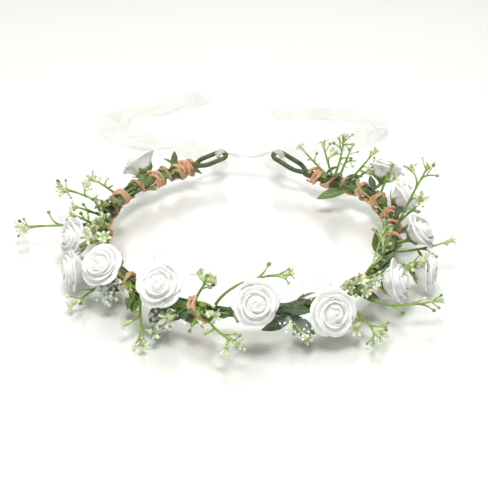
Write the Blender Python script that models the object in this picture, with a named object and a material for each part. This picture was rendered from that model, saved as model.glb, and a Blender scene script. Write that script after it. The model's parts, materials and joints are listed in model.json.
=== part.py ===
"""A flower crown: an open ring of taped wire with an eye at each end, wound with paper twine and
trimmed with foam roses, leaves, moulded gypsophila sprigs, glass berries, dotted tulle and a ribbon.

Metres, +Z up. The ring's centre is the drawing's centre. Angles round the ring are in degrees from
the front (-Y), positive to the right (+X). Round the band's own section, 0 is outwards, 90 is up,
180 is towards the head. The last step stands the whole crown on its box's bottom centre.
"""

import math

import bpy
from mathutils import Matrix, Vector
from mathutils.geometry import interpolate_bezier

# ---- driving dimensions ----
RING_RADIUS = 0.090  # centreline of the band
BAND_HEIGHT = 0.0145  # centreline above the table
WIRE_RADIUS = 0.0008
TAPE_WALL = 0.0007
EYE_TAPE_WALL = 0.0005
TWINE_RADIUS = 0.0012
ROSE_RADIUS = 0.0133
LEAF_THICKNESS = 0.0008
STEM_RADIUS = 0.0008
BERRY_RADIUS = 0.0019
RIBBON_WIDTH = 0.025
RIBBON_THICKNESS = 0.0010
TULLE_THICKNESS = 0.0006
GAP = 0.0003  # between pieces that touch

# ---- sizes that follow ----
STRAND_OFFSET = WIRE_RADIUS + GAP / 2  # each wire strand from the band's centreline
BORE_RADIUS = STRAND_OFFSET + WIRE_RADIUS + GAP
BAND_RADIUS = BORE_RADIUS + TAPE_WALL
WRAP_RADIUS = BAND_RADIUS + GAP + TWINE_RADIUS
EYE_BORE = WIRE_RADIUS + GAP
EYE_RADIUS = EYE_BORE + EYE_TAPE_WALL  # taped wire round the eye

# ---- the band's ends ----
LEFT, RIGHT = -1, 1
SPLIT_HALF_ANGLE = 0.25  # half the gap at the front, where the flex hinge stands in for the wire
BAND_END = {LEFT: 155.0, RIGHT: 150.0}  # degrees from the front, where the eye begins
FLAT_FROM = 118.0  # the band runs straighter from here to its end
FLATTENING = {LEFT: 0.045, RIGHT: 0.12}  # share of the radius by which it does
EYE_LENGTH = {LEFT: 0.024, RIGHT: 0.028}
EYE_HALF_WIDTH = 0.0048
EYE_NECK = 0.36  # share of the eye's length over which its two sides part
EYE_TILT = {LEFT: 8.0, RIGHT: 13.0}  # degrees up from the ring's plane

BAND_STEP = 5.0  # degrees between sections of the band
BAND_SIDES = 8
WIRE_SIDES = 6
TWINE_SIDES = 5
TWINE_POINTS_PER_TURN = 10

# Turns of twine: (middle angle, whole turns, half the angle that they take).
TWINE_WRAPS = {
    LEFT: [(4, 1, 2.5), (34.5, 1, 2.5), (48, 1, 3), (64, 1, 2), (86, 2, 3), (112.5, 2, 3),
           (123, 1, 3.5), (138.5, 1, 3), (149, 3, 4)],
    RIGHT: [(9, 1, 2.5), (47, 1, 3), (80, 1, 3), (89.5, 1, 3), (97, 1, 3), (110, 1, 3),
            (121, 1, 2.5), (129, 1, 2.5), (143, 1, 3)],
}
TWINE_REST_ANGLE = 225.0  # between turns the twine runs along the inner underside
TWINE_START, TWINE_END_MARGIN = 1.0, 1.5  # degrees from the split and from the eye

# Roses: name, angle, distance out, distance up (mm from the band; None lays the rose on the table),
# facing (out, up), turn of the face along the ring, and size as a share of ROSE_RADIUS.
ROSES = [
    ("rose_back_left", -131.5, 11, 7.5, (0.8, 0.6), 0.1, 0.96),
    ("rose_left", -79, 16.5, 3.5, (0.85, 0.5), 0.2, 1.0),
    ("rose_left_low", -65.5, 21.5, None, (1.0, 0.1), -0.1, 0.94),
    ("rose_left_front", -54, 12, 10, (0.55, 0.8), 0.25, 1.0),
    ("rose_front_left", -29.5, 6.5, 14, (0.65, 0.75), 0.1, 1.0),
    ("rose_front", 2.6, 8.5, 12, (0.8, 0.6), 0.05, 1.02),
    ("rose_front_right", 26, 15.5, 3.5, (0.9, 0.55), -0.15, 1.06),
    ("rose_right_front", 52.5, 15.5, 3, (0.95, 0.4), 0.45, 1.0),
    ("rose_right_low", 66, 23.5, None, (1.0, 0.1), 0.2, 0.94),
    ("rose_right", 77.5, 15, 10.5, (0.75, 0.7), 0.1, 0.9),
    ("rose_right_back", 103.5, 12.5, 6.5, (0.8, 0.6), -0.1, 1.0),
    ("rose_back_right", 118, 13.5, 12, (0.6, 0.8), 0.2, 0.94),
]
HEAD_PROFILE = [(0.0, -0.50), (0.42, -0.50), (0.88, -0.18), (1.0, 0.12), (0.84, 0.42),
                (0.45, 0.55), (0.0, 0.50)]  # radius and height, in rose radii
HEAD_SIDES = 12
CUP_RADIUS, CUP_HEIGHT = 0.40, 0.16  # the green cup under a head, in rose radii
CUP_FOOT_RADIUS = 0.0016
ROSE_STEM_RADIUS = 0.0010

# Leaves: name, angle, stem's angle round the band, direction (along, out, up), face (along, out,
# up), length and width in mm, droop as a share of the length.
LEAVES = [
    ("leaf_eye_left_up", -143.5, 95, (-0.3, 0.1, 1.0), (0.2, -1, 0.2), 12, 5.5, 0.10),
    ("leaf_left_back", -107.8, 110, (0.8, -0.4, 0.6), (0, -0.35, 1), 21, 11, 0.16),
    ("leaf_left_under", -43.5, -75, (0.5, 0.75, -0.35), (0, 0.1, 1), 14, 8, 0.05),
    ("leaf_front_left", -19.5, -85, (-0.75, 0.6, -0.12), (0, -0.1, 1), 17, 10, 0.03),
    ("leaf_front_right_tip", 16.5, -15, (-1, 0.40, -0.1), (0, 1, 0.4), 22, 8.5, 0.05),
    ("leaf_front_right_low", 13.5, -80, (0.7, 0.75, -0.25), (0, 0.2, 1), 20, 10, -0.02),
    ("leaf_right_inner", 64, 125, (0.3, -0.5, 0.8), (0.3, -1, 0.1), 17, 11, 0.12),
    ("leaf_back_right_hang", 125.3, 180, (0.75, -0.8, -0.1), (0.1, -0.6, 0.9), 24, 9, 0.08),
    ("leaf_back_right_top", 138.5, 110, (-0.7, -0.35, 0.6), (0, 0.1, 1), 20, 8, 0.16),
]
LEAF_STATIONS = 7
LEAF_FOLD = 0.14  # how far the midrib sits below the edges, as a share of the width
PETIOLE_HALF_WIDTH = 0.0006

# Gypsophila sprigs: name, angle, stem's angle round the band, direction (along, out, up), length in
# mm, bend (along, out, up) as a share of the length, and the spread of the side branches.
SPRIGS = [
    ("sprig_left_long", -91, 15, (0.0, 1, -0.08), 50, (0.0, 0, 0.02), 0.9),
    ("sprig_left_upper", -103, 45, (-0.15, 1, 0.35), 31, (0.0, 0.1, -0.1), 1.0),
    ("sprig_left_fork", -56.0, -40, (0.16, 1, -0.17), 30, (-0.05, 0, -0.04), 0.6),
    ("sprig_front_left_hang", -40.5, -25, (0.9, 1, -0.2), 33, (0.1, 0, -0.08), 0.7),
    ("sprig_front_left_up", -19, 105, (0.2, -0.5, 0.8), 17, (0.1, 0, -0.2), 0.8),
    ("sprig_front_high", -11.5, 95, (0.5, -0.5, 1.0), 37, (0.6, -0.05, -0.4), 0.5),
    ("sprig_front_low", -14, -20, (0.45, 1, -0.05), 25, (0.5, 0.0, 0.1), 0.8),
    ("sprig_front_right_low", 37, -30, (-0.25, 1, -0.12), 33, (0.1, 0, 0.0), 0.6),
    ("sprig_right_front_arc", 41.5, -5, (-0.05, 1, -0.15), 40, (0.75, -0.1, 0.15), 0.5),
    ("sprig_right_inner", 53.5, 130, (1, -0.15, 0.8), 26, (0.1, -0.1, 0.0), 0.7),
    ("sprig_right_tall", 85, 70, (0.1, 0.3, 1), 42, (0.1, 0.1, 0.0), 1.0),
    ("sprig_back_right_fan", 135.5, 60, (-0.15, 0.6, 1), 25, (0.2, 0.1, 0.0), 1.4),
]
SPRIG_SIDES = 5
SPRIG_STATIONS = 5
# Side branches: where they leave the stem, direction (sideways, up from it), length; shares of it.
BRANCHES = [(0.42, (1.0, 0.15), 0.34), (0.66, (-0.9, 0.35), 0.30), (0.80, (0.7, -0.5), 0.24)]
BRANCH_FORWARD = 0.9  # how far a branch leans along the stem

# Berry sprays: as the sprigs.
SPRAYS = [
    ("berry_spray_left", -50.3, -35, (0.0, 1, -0.1), 17, (0.3, 0, -0.05), 1.5),
    ("berry_spray_front", -28.0, -20, (0.0, 1, -0.2), 17, (0.2, 0, -0.15), 1.3),
]

# Dotted tulle: name, first and last angle, rise (mm from the band's centre), lean from upright.
TULLE = [
    ("tulle_front_left", -41.0, -25, 25, 18),
    ("tulle_front_right", 10.5, 34.0, 17, 12),
]
TULLE_COLUMNS = 12
TULLE_RUFFLES = 3
TULLE_RUFFLE = 0.0016

# Ribbon tails: points on the table (mm to the right, mm back from the ring's back), after the eye.
RIBBON_ROUTE = {
    LEFT: [(-22, 22), (-48, 44), (-76, 52), (-98, 62), (-104, 86), (-84, 104), (-58, 114),
           (-34, 132)],
    RIGHT: [(20, 24), (42, 44), (68, 52), (92, 64), (92, 88), (68, 100), (42, 102), (18, 100)],
}
RIBBON_SPACING = 0.010  # between sections of a tail
RIBBON_THROAT_WIDTH, RIBBON_THROAT_THICKNESS = 0.0042, 0.0016
RIBBON_OPENS_OVER = 0.045  # a tail's length from its gathered start to its full width
RIBBON_WAVE, RIBBON_WAVE_LENGTH = 0.0016, 0.055
RIBBON_FLAT_END = 0.022  # a tail's last stretch lies flat


def smooth(x):
    x = min(1.0, max(0.0, x))
    return x * x * (3 - 2 * x)


# ---- places on the band ----
def side_of(angle):
    return LEFT if angle < 0 else RIGHT


def outward(angle):
    a = math.radians(angle)
    return Vector((math.sin(a), -math.cos(a), 0))


def band_radius_at(angle):
    side = side_of(angle)
    span = 172.0 - FLAT_FROM
    dip = math.sin(math.pi * min(1.0, max(0.0, (abs(angle) - FLAT_FROM) / span)))
    return RING_RADIUS * (1 - FLATTENING[side] * dip)


def band_centre(angle):
    return outward(angle) * band_radius_at(angle) + Vector((0, 0, BAND_HEIGHT))


def local_axes(angle):
    """(along, out, up) at an angle. Along is level and points the way that the angle grows."""
    ahead = band_centre(angle + 0.5) - band_centre(angle - 0.5)
    along = Vector((ahead.x, ahead.y, 0)).normalized()
    return along, Vector((along.y, -along.x, 0)), Vector((0, 0, 1))


def direction_at(angle, parts):
    return sum((axis * part for axis, part in zip(local_axes(angle), parts)), Vector()).normalized()


def section_point(angle, distance, round_angle):
    """A point at a distance from the band's centreline, at an angle round its section."""
    _, out, up = local_axes(angle)
    a = math.radians(round_angle)
    return band_centre(angle) + (out * math.cos(a) + up * math.sin(a)) * distance


# ---- mesh builders ----
def mesh_of(name, points, faces):
    mesh = bpy.data.meshes.new(name)
    mesh.from_pydata([tuple(p) for p in points], [], faces)
    mesh.validate()
    mesh.shade_smooth()
    mesh.set_sharp_from_angle(angle=math.radians(50))
    return mesh


def frames_along(path):
    """A right and an up vector at each point of a path, turned as little as possible."""
    frames, side = [], None
    for i, _ in enumerate(path):
        ahead = (path[min(i + 1, len(path) - 1)] - path[max(i - 1, 0)]).normalized()
        if side is None:
            side = Vector((0, 0, 1)).cross(ahead)
            side = side if side.length > 0.1 else Vector((1, 0, 0)).cross(ahead)
        side = (side - ahead * side.dot(ahead)).normalized()
        frames.append((side, ahead.cross(side)))
    return frames


def ring_faces(rings, sides, first=0, flip=False):
    """Quads that join rings of points, each with that many sides, in order."""
    faces = []
    for i in range(rings - 1):
        for j in range(sides):
            a, b = first + i * sides + j, first + i * sides + (j + 1) % sides
            quad = (a, b, b + sides, a + sides)
            faces.append(quad[::-1] if flip else quad)
    return faces


def tube_points(path, radii, sides):
    points = []
    for p, radius, (side, up) in zip(path, radii, frames_along(path)):
        for j in range(sides):
            a = math.tau * j / sides
            points.append(p + (side * math.cos(a) + up * math.sin(a)) * radius)
    return points


def solid_tube(name, path, radii, sides):
    """A closed round bar along a path. Radii are one for each point, or one for all."""
    radii = radii if hasattr(radii, "__len__") else [radii] * len(path)
    points = tube_points(path, radii, sides)
    last = (len(path) - 1) * sides
    caps = [tuple(range(sides - 1, -1, -1)), tuple(range(last, last + sides))]
    return mesh_of(name, points, ring_faces(len(path), sides) + caps)


def sleeve(name, path, bore, outer, sides):
    """A pipe with a bore that clears a round bar of that radius, open at both ends."""
    clear = bore / math.cos(math.pi / sides)
    points = tube_points(path, [outer] * len(path), sides)
    inner = len(points)
    points += tube_points(path, [clear] * len(path), sides)
    faces = ring_faces(len(path), sides) + ring_faces(len(path), sides, inner, flip=True)
    for ring, flip in ((0, False), ((len(path) - 1) * sides, True)):
        for j in range(sides):
            a, b = ring + j, ring + (j + 1) % sides
            quad = (a, inner + a, inner + b, b)
            faces.append(quad[::-1] if flip else quad)
    return mesh_of(name, points, faces)


def lathe(name, profile, sides):
    """A closed turned solid. The profile runs from the axis at the bottom to the axis at the top."""
    rings = profile[1:-1]
    points = [
        Vector((r * math.cos(math.tau * j / sides), r * math.sin(math.tau * j / sides), z))
        for r, z in rings
        for j in range(sides)
    ]
    bottom, top = len(points), len(points) + 1
    points += [Vector((0, 0, profile[0][1])), Vector((0, 0, profile[-1][1]))]
    faces, last = ring_faces(len(rings), sides), (len(rings) - 1) * sides
    for j in range(sides):
        k = (j + 1) % sides
        faces += [(bottom, k, j), (top, last + j, last + k)]
    return mesh_of(name, points, faces)


def slab(name, upper, lower, columns):
    """A closed sheet between two grids of points, each with that many points in a row."""
    rows, faces, n = len(upper) // columns, [], len(upper)
    for i in range(rows - 1):
        for j in range(columns - 1):
            a = i * columns + j
            quad = (a, a + 1, a + 1 + columns, a + columns)
            faces += [quad, tuple(n + k for k in quad[::-1])]
    border = [j for j in range(columns)]
    border += [i * columns + columns - 1 for i in range(1, rows)]
    border += [(rows - 1) * columns + j for j in range(columns - 2, -1, -1)]
    border += [i * columns for i in range(rows - 2, 0, -1)]
    for a, b in zip(border, border[1:] + border[:1]):
        faces.append((b, a, n + a, n + b))
    return mesh_of(name, upper + lower, faces)


def bezier(a, b, c, d, count):
    return interpolate_bezier(a, b, c, d, count)


def through(points, spacing):
    """Points about that far apart along a smooth curve through the given ones."""
    out, last = [], len(points) - 1
    for i in range(last):
        p0, p1 = points[max(i - 1, 0)], points[i]
        p2, p3 = points[i + 1], points[min(i + 2, last)]
        count = max(2, round((p2 - p1).length / spacing) + 1)
        piece = bezier(p1, p1 + (p2 - p0) / 6, p2 - (p3 - p1) / 6, p2, count)
        out += piece[: None if i == last - 1 else -1]
    return out


# ---- objects ----
def material(name, colour, roughness, metallic=0.0):
    made = bpy.data.materials.new(name)
    made.use_nodes = True
    shader = made.node_tree.nodes["Principled BSDF"]
    shader.inputs["Base Color"].default_value = (*colour, 1)
    shader.inputs["Roughness"].default_value = roughness
    shader.inputs["Metallic"].default_value = metallic
    made.diffuse_color = (*colour, 1)
    return made


def empty(name, place, parent=None):
    made = bpy.data.objects.new(name, None)
    bpy.context.scene.collection.objects.link(made)
    made.parent = parent
    made.location = place
    return made


def add(name, mesh, finish, half, matrix=None):
    """Puts a mesh in the drawing, under its half of the crown."""
    made = bpy.data.objects.new(name, mesh)
    bpy.context.scene.collection.objects.link(made)
    if not mesh.materials:
        mesh.materials.append(finish)
    matrix = matrix or Matrix.Identity(4)
    made.parent = half
    made.location = matrix.translation - half.location
    made.rotation_euler = matrix.to_euler()
    return made


def helper(name, mesh):
    made = bpy.data.objects.new(name, mesh)
    bpy.context.scene.collection.objects.link(made)
    made.hide_render = True
    made.display_type = "WIRE"
    return made


# ---- the frame: wire, tape and twine ----
def band_angles(side):
    """Angles of the band's sections from the split to the eye."""
    steps = math.ceil((BAND_END[side] - SPLIT_HALF_ANGLE) / BAND_STEP)
    step = (BAND_END[side] - SPLIT_HALF_ANGLE) / steps
    return [side * (SPLIT_HALF_ANGLE + i * step) for i in range(steps + 1)]


def eye_axes(side):
    """The eye's root, the way it points and its level sideways vector, which points outwards."""
    end = side * BAND_END[side]
    along, out, up = local_axes(end)
    tilt = math.radians(EYE_TILT[side])
    ahead = along * side * math.cos(tilt) + up * math.sin(tilt)
    return band_centre(end), ahead, out


def eye_path(side, root_offset):
    """The eye's centreline: out along its outer side, round the tip, and back along the inner."""
    root, ahead, out = eye_axes(side)
    length, half = EYE_LENGTH[side], EYE_HALF_WIDTH
    neck = length * EYE_NECK
    leg = bezier(
        root + out * root_offset,
        root + out * root_offset + ahead * neck * 0.3,
        root + out * half + ahead * neck * 0.4,
        root + out * half + ahead * neck,
        4,
    )
    centre = root + ahead * (length - half)
    tip = [
        centre + out * half * math.cos(a) + ahead * half * math.sin(a)
        for a in (math.pi * i / 8 for i in range(9))
    ]
    outer_side = leg + tip[:5]
    inner_side = [
        p - out * 2 * (p - root).dot(out) for p in reversed(outer_side[:-1])
    ]
    return outer_side + inner_side


def frame_wire(side):
    """One wire, doubled: both strands run side by side in the band, and its bend is the eye."""
    angles = band_angles(side)[:-1]
    outer = [section_point(a, STRAND_OFFSET, 0) for a in angles]
    inner = [section_point(a, STRAND_OFFSET, 180) for a in reversed(angles)]
    path = outer + eye_path(side, STRAND_OFFSET) + inner
    return solid_tube("wire", path, WIRE_RADIUS, WIRE_SIDES)


def band_tape(side):
    path = [band_centre(a) for a in band_angles(side)]
    return sleeve("band_tape", path, BORE_RADIUS, BAND_RADIUS, BAND_SIDES)


def eye_tape(side):
    """The tape round the eye begins where its two legs have room for it."""
    path = eye_path(side, STRAND_OFFSET)
    clear = EYE_RADIUS + GAP
    root, _, out = eye_axes(side)
    parted = [i for i, p in enumerate(path) if abs((p - root).dot(out)) > clear]
    return sleeve("eye_tape", path[parted[0] : parted[-1] + 1], EYE_BORE, EYE_RADIUS, BAND_SIDES)


def twine_angle(side, at):
    turns = sum(n * smooth((at - mid + half) / (2 * half)) for mid, n, half in TWINE_WRAPS[side])
    return TWINE_REST_ANGLE + 360 * turns


def twine_path(side):
    """Points along the twine, close together where it turns and wide apart where it runs."""
    at, end, path = TWINE_START, BAND_END[side] - TWINE_END_MARGIN, []
    most, fine = 4.0, 0.02
    turn = 360 / TWINE_POINTS_PER_TURN
    while at < end:
        path.append(section_point(side * at, WRAP_RADIUS, twine_angle(side, at)))
        start, begun = at, twine_angle(side, at)
        while at < end and at - start < most and twine_angle(side, at) - begun < turn:
            at += fine
    path.append(section_point(side * end, WRAP_RADIUS, twine_angle(side, end)))
    return path


# ---- flowers, leaves and sprigs ----
def basis(ahead, face):
    """A rotation whose Z is ahead and whose X lies as near as possible to face."""
    z = ahead.normalized()
    x = (face - z * face.dot(z)).normalized()
    return Matrix((x, z.cross(x), z)).transposed().to_4x4()


def rose_place(mesh, angle, out_mm, up_mm, facing, turn):
    """A rose head's placing: its centre, with its Z along the way that it faces."""
    _, out, up = local_axes(angle)
    centre = band_centre(angle) + (out * out_mm + up * (up_mm or 0)) / 1000
    turned = basis(direction_at(angle, (turn, *facing)), up)
    if up_mm is None:
        centre.z = -min((turned @ v.co).z for v in mesh.vertices)
    return Matrix.Translation(centre) @ turned


def calyx(place, radius, angle):
    """The green cup under a head and its wire stem, which comes straight down to the band."""
    centre, ahead = place.translation, place.col[2].xyz
    top = centre + ahead * (HEAD_PROFILE[0][1] * radius - GAP)
    foot = top - ahead * CUP_HEIGHT * radius
    along = local_axes(angle)[0]
    away = foot - band_centre(angle)
    down = (away - along * away.dot(along)).normalized()
    end = band_centre(angle) + down * (BAND_RADIUS + GAP)
    reach = (foot - end).length / 3
    stem = bezier(foot, foot - ahead * reach, end + down * reach, end, 6)
    radii = [CUP_RADIUS * radius, CUP_FOOT_RADIUS] + [ROSE_STEM_RADIUS] * (len(stem) - 1)
    return solid_tube("calyx", [top] + stem, radii, 8)


def leaf(angle, round_angle, ahead, face, length, width, droop):
    """A leaf with a folded midrib, from its stalk's end on the band to its tip."""
    ahead, face = direction_at(angle, ahead), direction_at(angle, face)
    face = (face - ahead * face.dot(ahead)).normalized()
    across = ahead.cross(face)
    root = section_point(angle, BAND_RADIUS + GAP + LEAF_THICKNESS / 2, round_angle)
    upper, lower = [], []
    for i in range(LEAF_STATIONS):
        s = i / (LEAF_STATIONS - 1)
        half = PETIOLE_HALF_WIDTH + width / 2 * math.sin(math.pi * s**1.25) ** 0.9 * (1 - 0.3 * s)
        middle = root + (ahead * s - face * droop * s * s) * length
        for x in (-1, 0, 1):
            fold = face * LEAF_FOLD * 2 * half * abs(x)
            point = middle + across * x * half + fold
            upper.append(point + face * LEAF_THICKNESS / 2)
            lower.append(point - face * LEAF_THICKNESS / 2)
    return slab("leaf", upper, lower, 3)


def limb(points, radius, berry):
    """A stalk's path and radii, ending in a berry."""
    ahead = (points[-1] - points[-2]).normalized()
    swell = [(0.0, 0.6), (0.45, 1.0), (1.2, 1.0), (1.75, 0.45)]
    path = points[:-1] + [points[-1] + ahead * berry * s for s, _ in swell]
    radii = [radius] * (len(points) - 1) + [berry * r for _, r in swell]
    return path, radii


def sprig_limbs(angle, round_angle, ahead, length, bend, spread, berry=BERRY_RADIUS):
    """The stalks of a moulded sprig: the main one first, then its side branches."""
    ahead = direction_at(angle, ahead)
    bend = sum((axis * part for axis, part in zip(local_axes(angle), bend)), Vector())
    root = section_point(angle, BAND_RADIUS + GAP + STEM_RADIUS, round_angle)

    def point(s):
        return root + (ahead * s + bend * s * s) * length

    side = ahead.cross(Vector((0, 0, 1)))
    side = side.normalized() if side.length > 0.3 else local_axes(angle)[0]
    lift = side.cross(ahead)
    main = [point(i / (SPRIG_STATIONS - 1)) for i in range(SPRIG_STATIONS)]
    limbs = [limb(main, STEM_RADIUS, berry)]
    for at, (sideways, upwards), share in BRANCHES:
        start = point(at)
        along = (point(at + 0.1) - start).normalized()
        way = side * sideways * spread + lift * upwards * spread + along * BRANCH_FORWARD
        end = start + way.normalized() * share * length
        elbow = start + along * share * length * 0.4
        limbs.append(limb([start, (elbow + (start + end) / 2) / 2, end], STEM_RADIUS * 0.8, berry))
    return limbs


def sprig(name, finish, half, *place):
    """A sprig's solid: its main stalk, with each side branch joined on by a union."""
    limbs = sprig_limbs(*place)
    made = add(name, solid_tube(name, *limbs[0], SPRIG_SIDES), finish, half)
    for i, (path, radii) in enumerate(limbs[1:]):
        cutter = helper(f"{name}_branch_{i}", solid_tube(name, path, radii, SPRIG_SIDES))
        cutter.parent = half
        cutter.location = -half.location
        union = made.modifiers.new(f"join_{i}", "BOOLEAN")
        union.operation = "UNION"
        union.object = cutter
    return made


def tulle(first, last, rise, lean):
    """A ruffled strip of net that stands up behind the roses."""
    rows, upper, lower = 3, [], []
    for i in range(TULLE_COLUMNS + 1):
        t = i / TULLE_COLUMNS
        angle = first + (last - first) * t
        along, out, up = local_axes(angle)
        low = WRAP_RADIUS + TWINE_RADIUS + GAP
        wave = math.sin(math.tau * TULLE_RUFFLES * t) * TULLE_RUFFLE
        crest = rise / 1000 * (0.72 + 0.28 * math.sin(math.pi * t))
        away = math.radians(90 + lean)
        ahead = out * math.cos(away) + up * math.sin(away)
        normal = out * math.sin(away) - up * math.cos(away)
        for j in range(rows):
            s = j / (rows - 1)
            point = band_centre(angle) + ahead * (low + (crest - low) * s) + normal * wave * s
            upper.append(point + normal * TULLE_THICKNESS / 2)
            lower.append(point - normal * TULLE_THICKNESS / 2)
    return slab("tulle", lower, upper, rows)


# ---- the ribbon ----
def eye_inside(side):
    """A point inside the eye, near its tip, where the ribbon goes down through it."""
    root, ahead, _ = eye_axes(side)
    return root + ahead * (EYE_LENGTH[side] - EYE_RADIUS - RIBBON_THROAT_WIDTH)


def ribbon_bridge():
    """The gathered ribbon across the gap, over both eyes' tips and down into them."""
    over = EYE_RADIUS + GAP + RIBBON_THROAT_THICKNESS
    points = []
    for side in (LEFT, RIGHT):
        root, ahead, _ = eye_axes(side)
        tip = root + ahead * EYE_LENGTH[side]
        up = Vector((0, 0, 1))
        leg = [eye_inside(side) + up * over * 0.35, tip + up * over - ahead * 0.001]
        points += leg if side == LEFT else leg[::-1]
    middle = (points[1] + points[2]) / 2 - Vector((0, 0, 0.0015))
    path = through([points[0], points[1], middle, points[2], points[3]], 0.004)
    return solid_tube("ribbon_bridge", path, RIBBON_THROAT_THICKNESS / 2 + GAP, 6)


def ribbon_tail(side):
    """A tail: gathered where it leaves the eye, then opening out to lie flat on the table."""
    inside = eye_inside(side)
    drop = inside - Vector((0, 0, 0.0028))
    table = RIBBON_THICKNESS / 2
    lie = [Vector((x / 1000, RING_RADIUS + y / 1000, table)) for x, y in RIBBON_ROUTE[side]]
    path = through([drop, drop.lerp(lie[0], 0.5) - Vector((0, 0, 0.002))] + lie, RIBBON_SPACING)
    path = [Vector((p.x, p.y, max(p.z, table))) for p in path]
    runs = [0.0]
    for a, b in zip(path, path[1:]):
        runs.append(runs[-1] + (b - a).length)
    upper, lower = [], []
    for i, (p, run) in enumerate(zip(path, runs)):
        ahead = path[min(i + 1, len(path) - 1)] - path[max(i - 1, 0)]
        across = Vector((ahead.y, -ahead.x, 0)).normalized()
        spread = smooth(run / RIBBON_OPENS_OVER)
        half = (RIBBON_THROAT_WIDTH + (RIBBON_WIDTH - RIBBON_THROAT_WIDTH) * spread) / 2
        thick = RIBBON_THROAT_THICKNESS + (RIBBON_THICKNESS - RIBBON_THROAT_THICKNESS) * spread
        height = RIBBON_WAVE * spread * smooth((runs[-1] - run) / RIBBON_FLAT_END - 1)
        wave = height * (1 - math.cos(math.tau * run / RIBBON_WAVE_LENGTH)) / 2
        for x in (-1, 1):
            point = p + across * x * half + Vector((0, 0, wave))
            upper.append(point + Vector((0, 0, thick / 2)))
            lower.append(point - Vector((0, 0, thick / 2)))
    return slab("ribbon_tail", upper, lower, 2)


def stand_on_origin(root):
    """Moves the crown so that its box's bottom centre is the origin, and returns the shift."""
    bpy.context.view_layer.update()
    graph = bpy.context.evaluated_depsgraph_get()
    corners = [
        made.matrix_world @ Vector(corner)
        for made in bpy.data.objects
        if made.type == "MESH" and not made.hide_render
        for corner in [v.co for v in made.evaluated_get(graph).to_mesh().vertices]
    ]
    low = Vector(map(min, *corners))
    high = Vector(map(max, *corners))
    root.location = -Vector(((low.x + high.x) / 2, (low.y + high.y) / 2, low.z))
    return root.location


def main():
    for old in list(bpy.data.objects):
        bpy.data.objects.remove(old)

    steel = material("wire", (0.30, 0.31, 0.32), 0.4, 1.0)
    tape = material("floral_tape", (0.07, 0.13, 0.06), 0.75)
    twine = material("paper_twine", (0.72, 0.38, 0.24), 0.8)
    foam = material("rose_foam", (0.93, 0.92, 0.89), 0.85)
    cup = material("calyx_plastic", (0.25, 0.40, 0.12), 0.5)
    fabric = material("leaf_fabric", (0.12, 0.24, 0.10), 0.7)
    moulded = material("sprig_plastic", (0.38, 0.55, 0.12), 0.45)
    glassy = material("berry_glass", (0.75, 0.82, 0.72), 0.15)
    net = material("tulle_net", (0.95, 0.95, 0.95), 0.8)
    organza = material("ribbon_organza", (0.95, 0.94, 0.91), 0.5)

    root = empty("crown", (0, 0, 0))
    hinge = band_centre(0)
    halves = {
        LEFT: empty("left_half", hinge, root),
        RIGHT: empty("right_half", hinge, root),
    }
    words = {LEFT: "left", RIGHT: "right"}

    for side, half in halves.items():
        word = words[side]
        add(f"frame_wire_{word}", frame_wire(side), steel, half)
        add(f"band_tape_{word}", band_tape(side), tape, half)
        add(f"eye_tape_{word}", eye_tape(side), tape, half)
        path = twine_path(side)
        add(f"twine_{word}", solid_tube("twine", path, TWINE_RADIUS, TWINE_SIDES), twine, half)
        add(f"ribbon_tail_{word}", ribbon_tail(side), organza, half)
    add("ribbon_bridge", ribbon_bridge(), organza, halves[LEFT])

    heads = {}
    for name, angle, out_mm, up_mm, facing, turn, share in ROSES:
        radius = ROSE_RADIUS * share
        if share not in heads:
            profile = [(r * radius, z * radius) for r, z in HEAD_PROFILE]
            heads[share] = lathe(f"rose_head_{len(heads)}", profile, HEAD_SIDES)
        half = halves[side_of(angle)]
        place = rose_place(heads[share], angle, out_mm, up_mm, facing, turn)
        add(name, heads[share], foam, half, place)
        add(name.replace("rose", "calyx"), calyx(place, radius, angle), cup, half)

    for name, angle, round_angle, ahead, face, length, width, droop in LEAVES:
        made = leaf(angle, round_angle, ahead, face, length / 1000, width / 1000, droop)
        add(name, made, fabric, halves[side_of(angle)])
    for name, angle, round_angle, ahead, length, bend, spread in SPRIGS:
        place = (angle, round_angle, ahead, length / 1000, bend, spread)
        sprig(name, moulded, halves[side_of(angle)], *place)
    for name, angle, round_angle, ahead, length, bend, spread in SPRAYS:
        place = (angle, round_angle, ahead, length / 1000, bend, spread)
        sprig(name, glassy, halves[side_of(angle)], *place)
    for name, first, last, rise, lean in TULLE:
        add(name, tulle(first, last, rise, lean), net, halves[side_of(first)])

    stand_on_origin(root)


main()
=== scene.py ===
"""The flower crown's looks: foam roses, moulded gypsophila, veined leaves, paper twine, taped wire,
clear beads, dotted tulle and an organza ribbon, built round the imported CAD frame.

Metres, +Z up. Places on the crown are given as in the CAD source: an angle round the ring from the
front (-Y), positive to the right (+X), and an angle round the band's section, 0 outwards, 90 up.
"""

import itertools
import json
import math
import random

import bpy
from mathutils import Matrix, Vector, noise
from mathutils.geometry import interpolate_bezier


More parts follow.
